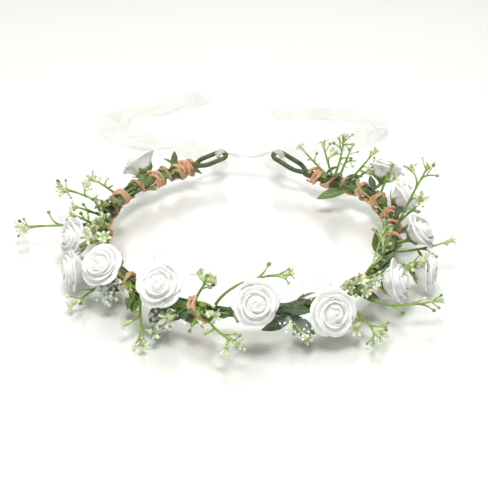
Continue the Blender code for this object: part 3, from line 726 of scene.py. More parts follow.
def petal(ring, middle, radius, dice):
    """Rows of points of one petal, in the rose's own axes, from its base to its rim."""
    _, rim, base, top, bottom, half, roll = ring
    rim *= dice.uniform(0.91, 1.06)
    top += dice.uniform(-0.05, 0.04)
    lean, wave = dice.uniform(-0.03, 0.03), dice.uniform(0, math.tau)
    rows = []
    for t in shares(PETAL_ROWS):
        row = []
        for s in side_to_side(PETAL_COLUMNS):
            rise = t * (1 - 0.26 * abs(s) ** 2.8)
            bend = max(0.0, (rise - 0.6) / 0.4)
            r = base + (rim - base) * rise**1.3 + 0.05 * math.sin(math.pi * rise) + roll * bend**2
            r += (0.055 * s + 0.015 * math.sin(3 * s + wave)) * t - 0.04 * rim * s * s * t
            z = bottom + (top - bottom) * math.sin(rise * math.pi / 2) ** 1.1
            z += lean * s * t - roll * 0.55 * bend**2 + 0.02 * math.sin(2.1 * s + wave) * t
            a = middle + math.radians(half) * s * (0.55 + 0.45 * min(1.0, t * 1.6))
            row.append(Vector((r * math.cos(a), r * math.sin(a), z)) * radius)
        rows.append(row)
    # The second list is each row's tone for the foam's painted shade: darker towards the petal's base.
    return rows, [smooth(t * 1.3) for t in shares(PETAL_ROWS)]


def heart_rows(start, radius):
    """The rolled bud in the middle: one sheet wound into a dome that closes over itself."""
    rows = []
    for t in shares(HEART_ROWS):
        row = []
        for s in shares(HEART_COLUMNS):
            r = mix(0.05, 0.38, s) * (1 - 0.36 * smooth((t - 0.5) / 0.5)) * mix(0.75, 1.0, smooth(t * 2))
            z = mix(-0.2, mix(0.60, 0.54, s), math.sin(t * math.pi / 2))
            a = start + math.tau * HEART_TURNS * s
            row.append(Vector((r * math.cos(a), r * math.sin(a), z)) * radius)
        rows.append(row)
    # The second list is each row's tone for the foam's painted shade: darker towards the bottom of the bud.
    return rows, [smooth(t * 1.2) for t in shares(HEART_ROWS)]


def basis(ahead, face):
    """Axes with Z ahead and X as near to face as it can be."""
    z = ahead.normalized()
    x = (face - z * face.dot(z)).normalized()
    return Matrix((x, z.cross(x), z)).transposed().to_4x4()


def rose_place(angle, out_mm, up_mm, facing, turn, radius):
    """Where a rose's head is. One with no height of its own rests on the table."""
    _, out, up = local_axes(angle)
    centre = band_centre(angle) + (out * out_mm + up * (up_mm or 0)) / 1000
    axes = basis(direction_at(angle, (turn, *facing)), up)
    if up_mm is None:
        rim = [Vector((r * math.cos(a), r * math.sin(a), z)) * radius
               for r, z in HEAD_PROFILE for a in turns_of(HEAD_SIDES)]
        centre.z = LOW_ROSE_LIFT - min((axes @ p).z for p in rim)
    return Matrix.Translation(centre) @ axes


def build_rose(name, angle, out_mm, up_mm, facing, turn, share):
    dice = random.Random(name)
    radius = ROSE_RADIUS * share
    place = rose_place(angle, out_mm, up_mm, facing, turn, radius)
    half = HALF[side_of(angle)]
    start = dice.uniform(0, math.tau)
    sheets = [heart_rows(start, radius)]
    for number, ring in enumerate(PETAL_RINGS):
        for i in range(ring[0]):
            middle = start + number * 1.1 + math.tau * (i + dice.uniform(-0.06, 0.06)) / ring[0]
            sheets.append(petal(ring, middle, radius, dice))
    shape = Shape()
    for rows, tones in sheets:
        shape.grid([[place @ p for p in row] for row in rows], tone=tones)
    rose_head = soften(shape.object(f"foam_rose_{name}", [FOAM]), PETAL_THICKNESS)
    settle(rose_head, "rose_foam", half, f"rose_{name}")

    heart = Shape()
    axis = place.col[2].xyz.normalized()
    # Tone 0.55 gives the heart some of the foam's painted shade, as it lies down among the petals.
    heart.drop(place.translation, axis, radius, HEART_PROFILE, 24, tone=0.55)
    settle(heart.object(f"foam_heart_{name}", [FOAM]), "rose_foam", half)
    build_calyx(name, place, radius, angle, dice)


def build_calyx(name, place, radius, angle, dice):
    """A green cup with its sepals, on a wire stem that comes down to the band."""
    centre, ahead = place.translation, place.col[2].xyz.normalized()
    top = centre - ahead * (0.50 * radius + GAP)
    foot = top - ahead * 0.16 * radius
    along = local_axes(angle)[0]
    away = foot - band_centre(angle)
    down = (away - along * away.dot(along)).normalized()
    end = band_centre(angle) + down * (BAND_RADIUS - 0.0006)
    reach = (foot - end).length / 3
    stem = interpolate_bezier(foot, foot - ahead * reach, end + down * reach, end, 9)
    shape = Shape()
    shape.tube([top, top - ahead * 0.06 * radius, foot + ahead * 0.02 * radius] + stem[1:],
               [0.36 * radius, 0.30 * radius, 0.0020] + [0.0010] * (len(stem) - 1), 14, tone=0.4)
    side = ahead.orthogonal().normalized()
    for a in turns_of(SEPALS):
        out = turned(side, ahead.cross(side), a + dice.uniform(-0.15, 0.15))
        across = ahead.cross(out)
        rows = []
        for t in shares(SEPAL_ROWS):
            spine = top + out * radius * (0.22 + 0.50 * t) + ahead * radius * (0.30 * t * t - 0.06)
            half_width = radius * 0.17 * math.sin(math.pi * (0.22 + 0.78 * t)) ** 0.8
            rows.append([spine + across * half_width * x + ahead * radius * 0.03 * abs(x)
                         for x in side_to_side(5)])
        shape.grid(rows, tone=0.6)
    made = soften(shape.object(f"sepals_{name}", [CUP]), SEPAL_THICKNESS)
    settle(made, "calyx_plastic", HALF[side_of(angle)], f"calyx_{name}")


# ---- leaves ----
# Name, angle, angle round the section, the way that the tip points, the way that the leaf faces, length
# and width in mm, and how far it droops.
LEAVES = [
    ("leaf_eye_left_up", -143.5, 95, (-0.3, 0.1, 1.0), (0.2, -1, 0.2), 12, 5.5, 0.10),
    ("leaf_left_back", -107.8, 110, (0.8, -0.4, 0.6), (0, -0.35, 1), 21, 11, 0.16),
    ("leaf_left_under", -43.5, -75, (0.5, 0.75, -0.35), (0, 0.1, 1), 14, 8, 0.05),
    ("leaf_front_left", -19.5, -85, (-0.75, 0.6, -0.12), (0, -0.1, 1), 17, 10, 0.03),
    ("leaf_front_right_tip", 16.5, -15, (-1, 0.40, -0.1), (0, 1, 0.4), 22, 8.5, 0.05),
    ("leaf_front_right_low", 13.5, -80, (0.7, 0.75, -0.25), (0, 0.2, 1), 20, 10, -0.02),
    ("leaf_right_inner", 64, 125, (0.3, -0.5, 0.8), (0.3, -1, 0.1), 17, 11, 0.12),
    ("leaf_back_right_hang", 125.3, 180, (0.75, -0.8, -0.1), (0.1, -0.6, 0.9), 24, 9, 0.08),
    ("leaf_back_right_top", 138.5, 110, (-0.7, -0.35, 0.6), (0, 0.1, 1), 20, 8, 0.16),
]
# Small leaves with no solid of their own in the CAD.
SMALL_LEAVES = [
    (-146, 60, (0.6, 0.5, 0.7), (0, 0, 1), 10, 4, 0.1),
    (-150, 150, (-0.6, -0.6, -0.1), (0, -0.2, 1), 11, 5, 0.1),
    (-127, 70, (-0.7, 0.7, 0.6), (0, 0, 1), 12, 5, 0.2),
    (-126, 200, (-0.9, -0.5, -0.2), (0, -0.6, 1), 10, 4, 0.1),
    (-104, 120, (0.8, 0.4, 0.5), (0, -0.2, 1), 15, 8, 0.2),
    (-96, 60, (0.7, 0.6, 0.6), (0, 0.3, 1), 14, 6, 0.1),
    (-90, 30, (0.6, 0.8, 0.4), (0, 0.3, 1), 13, 6, 0.2),
    (-66, 150, (0.7, -0.2, 0.5), (0, -0.5, 1), 12, 5, 0.2),
    (-44, -20, (0.5, 0.8, -0.2), (0, 0.4, 1), 14, 6, 0.1),
    (-33, -60, (0.3, 0.9, -0.5), (0, 0.4, 1), 15, 7, 0.0),
    (-24, -10, (0.9, 0.6, 0.0), (0, 0.5, 1), 15, 7, 0.1),
    (-14, 20, (-0.7, 0.5, 0.3), (0, 0.4, 1), 12, 5, 0.2),
    (13, 30, (0.9, 0.4, 0.2), (0, 0.5, 1), 15, 7, 0.1),
    (17, 110, (0.9, -0.2, 0.5), (0, -0.4, 1), 13, 5, 0.2),
    (14, -30, (0.5, 0.9, -0.4), (0, 0.5, 1), 20, 9, 0.0),
    (36, 100, (0.9, -0.1, 0.4), (0, -0.3, 1), 14, 6, 0.2),
    (40, 10, (0.5, 0.9, 0.1), (0, 0.4, 1), 15, 7, 0.1),
    (58, 60, (0.5, 0.3, 0.8), (0, -0.3, 1), 13, 6, 0.2),
    (70, 120, (0.8, -0.2, 0.5), (0, -0.6, 1), 12, 6, 0.2),
    (84, 20, (0.5, 0.8, 0.3), (0, 0.2, 1), 14, 6, 0.2),
    (94, 50, (0.8, 0.5, 0.4), (0, 0.1, 1), 13, 5, 0.2),
    (115, 80, (0.7, 0.1, 0.7), (0, -0.2, 1), 12, 5, 0.2),
    (-50, -45, (-0.1, 1, -0.4), (0, 0.4, 1), 13, 7, 0.0),
    (-53, -30, (-0.5, 1, -0.2), (0, 0.4, 1), 12, 6, 0.1),
    (-28, -50, (-0.3, 1, -0.4), (0, 0.4, 1), 13, 7, 0.0),
    (131, 70, (-0.8, 0.4, 0.4), (0, 0, 1), 13, 6, 0.2),
    (140, 60, (-0.5, 0.5, 0.7), (0, 0, 1), 10, 4, 0.2),
]
# Leaves pressed along the band under the twine: angle, angle round the section, which way the tip
# points along the band, how far it slants round it, length and width in mm.
PRESSED_LEAVES = [
    (-150, 140, 1, 0.3, 15, 8), (-141, 170, 1, -0.2, 16, 8), (-134, 110, 1, 0.2, 16, 9),
    (-127, 160, 1, 0.3, 16, 9), (-121, 120, -1, -0.3, 15, 8), (-115, 170, 1, 0.2, 17, 9),
    (-106, 130, 1, -0.2, 18, 10), (-99, 100, 1, 0.3, 16, 9), (-92, 150, 1, 0.2, 15, 8),
    (-74, 110, 1, 0.2, 15, 8), (-62, 60, 1, -0.3, 15, 8), (-50, 20, 1, -0.4, 15, 9),
    (-41, 60, 1, -0.3, 14, 8), (-30, -20, 1, 0.3, 16, 9), (-22, 30, 1, -0.3, 15, 9),
    (-25, -50, 1, 0.2, 15, 8), (10.5, 10, 1, 0.4, 17, 10), (18, 60, -1, 0.5, 15, 9),
    (24, -20, -1, -0.4, 16, 10), (34, 80, 1, 0.3, 15, 8), (43, 20, 1, -0.3, 16, 9),
    (54, 110, 1, 0.3, 15, 8), (66, 130, 1, -0.2, 15, 8), (82, 120, 1, 0.2, 15, 8),
    (94, 150, 1, 0.3, 15, 8), (104, 110, 1, -0.2, 15, 8), (118, 150, 1, 0.2, 16, 9),
    (127, 110, 1, 0.3, 15, 9), (134, 150, -1, 0.3, 17, 9), (141, 110, -1, -0.2, 15, 9),
]
SHADED_LEAVES = (9, 20)  # the small and pressed leaves between these angles lie in shade between the front roses and take the darker leaf look as painted shade
LEAF_ROWS, LEAF_COLUMNS = 15, 9
LEAF_THICKNESS, SMALL_LEAF_THICKNESS = 0.00035, 0.0003
# A loose foam petal hanging under the rose at the front left, placed as a leaf is.
LOOSE_PETAL = (-33, -60, (0.35, 0.7, -0.75), (0, 1, 0.6), 12.5, 11, 0.08)
LOOSE_PETAL_THICKNESS = 0.0008


def leaf_rows(angle, round_angle, ahead, face, length, width, droop, dice):
    """A leaf that stands off the band, from its root to its tip."""
    ahead, face = direction_at(angle, ahead), direction_at(angle, face)
    face = (face - ahead * face.dot(ahead)).normalized()
    across = ahead.cross(face)
    root = section_point(angle, BAND_RADIUS + 0.0002, round_angle)
    curl, wave = dice.uniform(0.02, 0.10), dice.uniform(0, math.tau)
    rows = []
    for s in shares(LEAF_ROWS):
        outline = math.sin(math.pi * s**1.25) ** 0.9 * (1 - 0.3 * s)
        half = 0.0006 * (1 - s) + width / 2000 * outline
        middle = root + (ahead * s - face * (droop * s * s + curl * s**4)) * (length / 1000)
        row = []
        for x in side_to_side(LEAF_COLUMNS):
            teeth = 1 + 0.035 * math.sin(math.tau * s * 9) * (abs(x) > 0.9)
            lift = 0.26 * half * abs(x) ** 1.3 + 0.05 * half * math.sin(s * 9 + wave + 2 * x) * abs(x)
            row.append(middle + across * x * half * teeth + face * lift)
        rows.append(row)
    return rows


def pressed_rows(angle, round_angle, sign, slant, length, width):
    """A leaf bent round the band under the twine, with its tip standing off a little."""
    rows = []
    for s in shares(LEAF_ROWS):
        half = 0.0005 * (1 - s) + width / 2000 * math.sin(math.pi * s**1.1) ** 0.8 * (1 - 0.2 * s)
        run = length / 1000 * s
        off = BAND_RADIUS + 0.0007 + 0.0022 * s**3
        middle = round_angle + math.degrees(slant * run / off)
        at = angle + sign * math.degrees(run / RING_RADIUS)
        rows.append([section_point(at, off + 0.0003 * abs(x), middle + math.degrees(x * half / off) * 0.9)
                     for x in side_to_side(LEAF_COLUMNS)])
    return rows


def build_loose_petal():
    shape = Shape()
    # Tone 0.7 gives the petal a little of the foam's painted shade.
    shape.grid(leaf_rows(*LOOSE_PETAL, random.Random(4)), tone=0.7)
    made = soften(shape.object("foam_petal_front_left", [FOAM]), LOOSE_PETAL_THICKNESS)
    settle(made, "rose_foam", HALF[LEFT])


def shaded(angle):
    return SHADED_LEAVES[0] < angle < SHADED_LEAVES[1]


def build_leaves():
    for name, *leaf in LEAVES:
        shape = Shape()
        shape.grid(leaf_rows(*leaf, random.Random(name)))
        # The two front-right leaves lie in shade between the front roses: they take the darker leaf look as
        # painted shade.
        look = DARK_LEAF_AND_PAINTED_SHADE if "front_right" in name else LEAF
        made = soften(shape.object(name.replace("leaf", "veined_leaf"), [look]), LEAF_THICKNESS)
        settle(made, "leaf_fabric", HALF[side_of(leaf[0])], name)
    for side in (LEFT, RIGHT):
        shape = Shape()
        for leaf in SMALL_LEAVES:
            if side_of(leaf[0]) == side:
                dice = random.Random(leaf[0])
                rows = leaf_rows(*leaf, dice)
                # Slot 1 is the darker leaf look: for some leaves at random, and as painted shade for those
                # in shade between the front roses.
                shape.grid(rows, slot=dice.random() < 0.3 or shaded(leaf[0]))
        for number, leaf in enumerate(PRESSED_LEAVES):
            if side_of(leaf[0]) == side:
                # Every third pressed leaf takes the darker leaf look, and those in shade between the front
                # roses take it as painted shade.
                shape.grid(pressed_rows(*leaf), slot=number % 3 == 0 or shaded(leaf[0]))
        made = soften(shape.object(f"small_leaves_{WORD[side]}", [LEAF, DARK_LEAF_AND_PAINTED_SHADE]), SMALL_LEAF_THICKNESS)
        settle(made, "leaf_fabric", HALF[side])


# ---- gypsophila ----
# Name, angle, angle round the section, the way that the stalk starts, its length in mm, the way that it
# bends, and how far its branches spread.
SPRIGS = [
    ("sprig_left_long", -91, 15, (0.0, 1, -0.08), 50, (0.0, 0, 0.02), 0.9),
    ("sprig_left_upper", -103, 45, (-0.15, 1, 0.35), 31, (0.0, 0.1, -0.1), 1.0),
    ("sprig_left_fork", -56.0, -40, (0.16, 1, -0.17), 30, (-0.05, 0, -0.04), 0.6),
    ("sprig_front_left_hang", -40.5, -25, (0.9, 1, -0.2), 33, (0.1, 0, -0.08), 0.7),
    ("sprig_front_left_up", -19, 105, (0.2, -0.5, 0.8), 17, (0.1, 0, -0.2), 0.8),
    ("sprig_front_high", -11.5, 95, (0.5, -0.5, 1.0), 37, (0.6, -0.05, -0.4), 0.5),
    ("sprig_front_low", -14, -20, (0.45, 1, -0.05), 25, (0.5, 0.0, 0.1), 0.8),
    ("sprig_front_right_low", 37, -30, (-0.25, 1, -0.12), 33, (0.1, 0, 0.0), 0.6),
    ("sprig_right_front_arc", 41.5, -5, (-0.05, 1, -0.15), 40, (0.75, -0.1, 0.15), 0.5),
    ("sprig_right_inner", 53.5, 130, (1, -0.15, 0.8), 26, (0.1, -0.1, 0.0), 0.7),
    ("sprig_right_tall", 85, 70, (0.1, 0.3, 1), 42, (0.1, 0.1, 0.0), 1.0),
    ("sprig_back_right_fan", 135.5, 60, (-0.15, 0.6, 1), 25, (0.2, 0.1, 0.0), 1.4),
]
# A stalk's side branches: where along it, how far sideways and upwards, and the share of its length.
BRANCHES = [(0.42, (1.0, 0.15), 0.34), (0.66, (-0.9, 0.35), 0.30), (0.80, (0.7, -0.5), 0.24)]
BRANCH_FORWARD = 0.9
# Shorter sprigs that are wound in among the others, with no solid of their own in the CAD.
FILL_SPRIGS = [
    (-112, 60, (-0.3, 1, 0.3), 22, (0, 0, -0.1), 0.8), (-95, 60, (0.4, 0.8, 0.6), 18, (0, 0.1, 0), 0.9),
    (-88, 40, (0.2, 0.9, 0.7), 17, (0, 0.1, 0), 0.8),
    (-71, 60, (0.3, 0.5, 0.9), 15, (0.1, 0.1, 0), 0.8),
    (-68, 110, (0.3, 0.1, 0.9), 14, (0.1, 0.1, 0), 0.8),
    (-61, -30, (-0.3, 1, -0.25), 20, (0, 0, 0), 0.7), (-46, 40, (0.7, 0.6, 0.3), 13, (0.1, 0, 0), 0.8),
    (-22, -10, (-0.2, 0.9, 0.1), 12, (0, 0, 0), 0.7),
    (-18, 40, (0.9, 0.5, 0.3), 10, (0.3, 0, -0.1), 0.6),
    (13, -20, (0.38, 1, -0.28), 18, (0.1, 0, 0), 0.6),
    (28, 110, (0.95, 0.1, 0.25), 20, (0.1, 0, 0), 0.7), (37, 80, (0.2, 0.5, 0.6), 11, (0, 0, 0), 0.9),
    (41, 50, (-0.2, 0.9, 0.35), 11, (0, 0, 0), 0.9), (38, 60, (0.8, 0.2, 0.5), 17, (0.3, 0, -0.2), 0.7),
    (60, 20, (0.1, 1, 0.4), 22, (0.2, 0, 0), 0.8), (-84, 105, (0.4, -0.1, 0.9), 12, (0, 0, 0), 0.9),
    (-78, 125, (-0.3, 0.1, 0.9), 11, (0, 0, 0), 1.0), (-92, 85, (-0.2, 0.3, 0.9), 13, (0, 0, 0), 0.9),
    (-74, 80, (-0.4, 0.5, 0.8), 13, (0, 0, 0), 0.9), (-97, 110, (0.5, 0.2, 0.8), 12, (0, 0, 0), 1.0),
    (-21, 80, (0.9, 0.1, 0.5), 15, (0.1, 0, -0.3), 0.5),
    (-21, 30, (0.95, 0.4, 0.1), 14, (0.1, 0, 0), 0.4),
    (-21, -10, (0.85, 0.75, -0.2), 16, (0.2, 0, 0.1), 0.5),
    (48, 100, (0.5, 0.1, 0.8), 13, (0.2, 0, -0.2), 0.8), (33, 40, (0.9, 0.5, 0.3), 14, (0, 0, 0), 0.8),
    (73, -10, (0.2, 1, 0.1), 30, (0.2, 0, 0.1), 0.9), (90, 40, (0.3, 0.8, 0.8), 22, (0, 0.1, 0), 0.9),
    (139, 70, (0.9, 0.1, 0.45), 24, (0, 0, 0.1), 0.9),
    (136, 80, (0.55, 0.2, 0.9), 22, (0, 0.1, 0), 0.9),
    (133, 60, (-0.1, 0.5, 0.9), 22, (0, 0.1, 0), 1.0),
    (127, 50, (-0.6, 0.7, 0.6), 20, (0, 0.1, 0), 0.9), (111, 70, (0.2, 0.4, 1), 20, (0, 0.1, 0), 0.8),
    (128, 60, (-0.5, 0.5, 0.9), 24, (0, 0.1, 0), 1.0),
]
STAR_SIZE, BUD_RADIUS = 0.0047, 0.00125
STALK_RADIUS = 0.00073
FILL_FLOWERS = 0.6  # the share of the shorter sprigs that end in an open flower
BRANCH_FLOWERS = 0.3  # a side branch ends in one that much less often
LOWEST_BUD = 0.0035
# The turned outlines of a bud and of a flower's cup: (radius, height).
BUD_PROFILE = [(0.30, -0.5), (0.42, 0.0), (0.80, 0.35), (1.0, 0.95), (0.94, 1.45), (0.66, 1.82),
               (0.36, 1.86), (0.20, 1.6), (0.0, 1.5)]
STAR_PROFILE = [(0.16, -0.8), (0.20, -0.56), (0.30, -0.24), (0.40, 0.0), (0.34, 0.20), (0.12, 0.28),
                (0.0, 0.288)]
STAR_ROWS, BRACT_ROWS = 8, 5


def bud(shape, base, axis, radius, tone):
    """A round cup of a bud with a dimple in its top."""
    shape.drop(base, axis, radius, BUD_PROFILE, 10, slot=1, tone=tone)


def star(shape, base, axis, size, dice):
    """An open flower of long pointed petals, on a flared cup, with a small eye."""
    side = axis.orthogonal().normalized()
    shape.drop(base, axis, size, STAR_PROFILE, 10, slot=2, tone=0.15)
    start, opening = dice.uniform(0, math.tau), dice.uniform(0.25, 0.9)
    for a in turns_of(dice.choice((5, 5, 6))):
        out = turned(side, axis.cross(side), start + a + dice.uniform(-0.2, 0.2))
        across = axis.cross(out)
        reach, tip = size * dice.uniform(0.8, 1.2), dice.uniform(-0.25, 0.15)
        rows = []
        for t in shares(STAR_ROWS):
            rise = 0.12 + opening * math.sin(t * 1.8) + tip * t * t
            spine = base + out * reach * (0.22 + 0.78 * t) + axis * size * rise
            half = size * 0.24 * math.sin(math.pi * (0.14 + 0.86 * t)) ** 0.8
            rows.append([spine + across * half * x + axis * half * 0.55 * abs(x)
                         for x in (-1, -0.4, 0.4, 1)])
        shape.grid(rows, slot=2, tone=[0.05 + 0.14 * k for k in range(STAR_ROWS)])


def bract(shape, base, ahead, dice):
    """A small pointed leaf where a twig leaves the stem."""
    side = Matrix.Rotation(dice.uniform(0, math.tau), 3, ahead) @ ahead.orthogonal().normalized()
    out = (ahead * 0.8 + side * 0.6).normalized()
    across = out.cross(side).normalized()
    length = dice.uniform(0.0035, 0.006)
    rows = []
    for t in shares(BRACT_ROWS):
        half = length * 0.20 * math.sin(math.pi * (0.1 + 0.9 * t))
        rows.append([base + out * length * t + across * half * x + side * half * 0.4 * abs(x)
                     for x in (-1, 0, 1)])
    shape.grid(rows, slot=0, tone=0.75)


def stalk_bud(shape, base, way, length, radius, tone):
    """One bud on its own thin stalk."""
    end = base + way * length
    shape.tube([base, base.lerp(end, 0.5), end], [0.00042, 0.00036, 0.00036], 6, slot=0, tone=0.5)
    bud(shape, end, way, radius, tone)


def head(shape, tip, ahead, dice, flower, buds):
    """What a stalk ends in: a flower, or a bud, with a few more buds on short stalks."""
    if flower:
        star(shape, tip, ahead, STAR_SIZE * dice.uniform(0.85, 1.1), dice)
    else:
        bud(shape, tip, ahead, BUD_RADIUS * dice.uniform(0.9, 1.1), dice.uniform(0.1, 0.9))
    turn = dice.uniform(0, math.tau)
    for i in range(buds):
        side = Matrix.Rotation(turn + 2.4 * i, 3, ahead) @ ahead.orthogonal().normalized()
        way = (ahead * dice.uniform(0.5, 1.0) + side * 0.9).normalized()
        base = tip - ahead * dice.uniform(0.002, 0.006)
        reach = dice.uniform(0.0045, 0.0075)
        if (base + way * reach).z > LOWEST_BUD:
            stalk_bud(shape, base, way, reach, BUD_RADIUS * dice.uniform(0.7, 1.0), dice.uniform(0.1, 1.0))


def sprig_limbs(angle, round_angle, ahead, length, bend, spread):
    """Paths of the CAD sprig's stalks: the main one first, then its side branches."""
    ahead, bend, length = direction_at(angle, ahead), in_axes(angle, bend), length / 1000
    root = section_point(angle, BAND_RADIUS, round_angle)

    def point(s):
        return root + (ahead * s + bend * s * s) * length

    side = ahead.cross(Vector((0, 0, 1)))
    side = side.normalized() if side.length > 0.3 else local_axes(angle)[0]
    lift = side.cross(ahead)
    limbs = [[point(s) for s in shares(13)]]
    for at, (sideways, upwards), share in BRANCHES:
        start = point(at)
        along = (point(at + 0.1) - start).normalized()
        way = side * sideways * spread + lift * upwards * spread + along * BRANCH_FORWARD
        end = start + way.normalized() * share * length
        elbow = start + along * share * length * 0.4
        limbs.append(interpolate_bezier(start, elbow, (elbow + end) / 2, end, 8))
    return limbs


def keep_off_table(shape):
    """Presses petals and buds that reach the table flat on it."""
    shape.points = [Vector((p.x, p.y, max(p.z, TABLE_SKIN))) for p in shape.points]


def grow_sprig(shape, place, dice, buds, most_limbs=4, flowers=1.0):
    for number, path in enumerate(sprig_limbs(*place)[:most_limbs]):
        main = number == 0
        radius = STALK_RADIUS * (1.1 if main else 0.85)
        radii = [radius * (1.2 - 0.45 * t) for t in shares(len(path))]
        shape.tube(path, radii, 8, slot=0, tone=[0.05 + 0.75 * t for t in shares(len(path))])
        tip_way = (path[-1] - path[-3]).normalized()
        flower = dice.random() < (flowers if main else BRANCH_FLOWERS * flowers)
        head(shape, path[-1], tip_way, dice, flower, buds if main else dice.choice((0, 1)))
        if number == 1:
            bract(shape, path[0], tip_way, dice)


def build_sprigs():
    looks = [STEM, BUD, STAR]
    for name, *place in SPRIGS:
        shape = Shape()
        grow_sprig(shape, place, random.Random(name), 3)
        keep_off_table(shape)
        made = soften(shape.object(name.replace("sprig", "gypsophila"), looks))
        settle(made, "sprig_plastic", HALF[side_of(place[0])], name)
    for side in (LEFT, RIGHT):
        shape = Shape()
        for place in FILL_SPRIGS:
            if side_of(place[0]) == side:
                grow_sprig(shape, place, random.Random(place[0] * 7), 1, 2, FILL_FLOWERS)
        keep_off_table(shape)
        made = soften(shape.object(f"gypsophila_fill_{WORD[side]}", looks))
        settle(made, "sprig_plastic", HALF[side])


# ---- bead sprays, placed as the sprigs are ----
SPRAYS = [
    ("berry_spray_left", -50.3, -35, (0.0, 1, -0.1), 17, (0.3, 0, -0.05), 1.5),
    ("berry_spray_front", -28.0, -20, (0.0, 1, -0.2), 17, (0.2, 0, -0.15), 1.3),
]
BEAD_PROFILE = [(0.0, -1.0), (0.38, -0.92), (0.71, -0.71), (0.92, -0.38), (1.0, 0.0), (0.92, 0.38),
                (0.71, 0.71), (0.38, 0.92), (0.0, 1.0)]
BEAD_RADIUS, BEADS_ON_LIMB, LOWEST_BEAD = 0.0012, 12, 0.003


def build_sprays():
    for name, *place in SPRAYS:
        dice, shape = random.Random(name), Shape()
        for path in sprig_limbs(*place):
            shape.tube(path, 0.0004, 6, slot=1, tone=0.2)
            for k in range(BEADS_ON_LIMB):
                at = path[-1 - k] if k < 3 else path[dice.randint(1, len(path) - 1)]
                way = Vector((dice.gauss(0, 1), dice.gauss(0, 1), dice.gauss(0, 1))).normalized()
                centre = at + way * dice.uniform(0.0014, 0.0050) * (k > 0)
                if centre.z > LOWEST_BEAD:
                    shape.tube([at, at.lerp(centre, 0.5), centre], 0.0002, 5, slot=1, tone=0.4)
                    shape.drop(centre, way, BEAD_RADIUS * dice.uniform(0.7, 1.35), BEAD_PROFILE, 12)
        made = soften(shape.object(name.replace("berry", "bead"), [BEAD, STEM]))
        settle(made, "berry_beads", HALF[side_of(place[0])], name)


# ---- tulle ----
# Strips of net: name, first and last angle, rise in mm, lean from upright (inwards, or outwards where
# it has no CAD node), and its CAD node.
NET_STRIPS = [
    ("net_front_left", -41.0, -25, 27, 14, "tulle_front_left"),
    ("net_front_right", 10.5, 34.0, 19, 10, "tulle_front_right"),
    ("net_under_right", 9.0, 34.0, 23, 100),
    ("net_under_left", -32.0, -14.0, 15, 105),
    ("net_right", 36.0, 62.0, 20, 55),
]
NET_ROWS, NET_COLUMNS = 12, 64


def net_point(t, s, spot, rise, away, ruffles, phase):
    """A strip's point at t along it and s up it. It ruffles more the further it is from the band."""
    _, out, up = local_axes(spot)
    ahead, normal = turned(out, up, away), out * math.sin(away) - up * math.cos(away)
    crest = rise * (0.70 + 0.30 * math.sin(math.pi * t) + 0.05 * math.sin(17 * t + phase))
    crest *= 0.5 + 0.5 * smooth(min(t, 1 - t) * 6)
    wave = 0.0022 * math.sin(math.tau * ruffles * t + phase + 1.2 * s) * (0.35 + 0.65 * s)
    wave += 0.0012 * noise_at(t * 9, s * 3, phase)
    low = WRAP_RADIUS - TWINE_RADIUS
    return band_centre(spot) + ahead * (low + (crest - low) * s) + normal * wave


def build_tulle():
    for name, first, last, rise, lean, *nodes in NET_STRIPS:
        phase, ruffles = random.Random(name).uniform(0, math.tau), max(3, round(abs(last - first) / 4))
        rise, away = rise / 1000, math.radians(90 + lean if nodes else 90 - lean)
        shape = Shape()
        shape.grid([[net_point(t, s, mix(first, last, t), rise, away, ruffles, phase)
                     for t in shares(NET_COLUMNS)] for s in shares(NET_ROWS)])
        made = soften(shape.object(name, [TULLE]))
        settle(made, "tulle_net", HALF[side_of(first)], *nodes)


# ---- ribbon ----
# Where the tails lie: mm to the right of the ring's centre and behind the ring.
RIBBON_ROUTE = {
    LEFT: [(-22, 22), (-48, 44), (-76, 52), (-98, 62), (-104, 86), (-84, 104), (-58, 114),
           (-34, 132)],
    RIGHT: [(20, 24), (42, 44), (68, 52), (92, 64), (92, 88), (68, 100), (42, 102), (18, 100)],
}
THROAT = 0.0042
RIBBON_STEP, RIBBON_COLUMNS = 0.0022, 25
RIBBON_LIE = 0.0006  # the height at which a tail lies on the table
EYE_DROP = 0.0022  # how far below the eye's middle the ribbon leaves it
OPENED_AFTER, CALM_BEFORE = 0.045, 0.02  # how soon a tail is open, and how near its end the waves calm
BRIDGE_WIDTH, BRIDGE_STEP, BRIDGE_COLUMNS, BRIDGE_SAG = 0.016, 0.0008, 41, 0.0030


def eye_inside(side):
    root, ahead, _ = eye_axes(side)
    return root + ahead * (EYE_LENGTH[side] - EYE_RADIUS - THROAT)


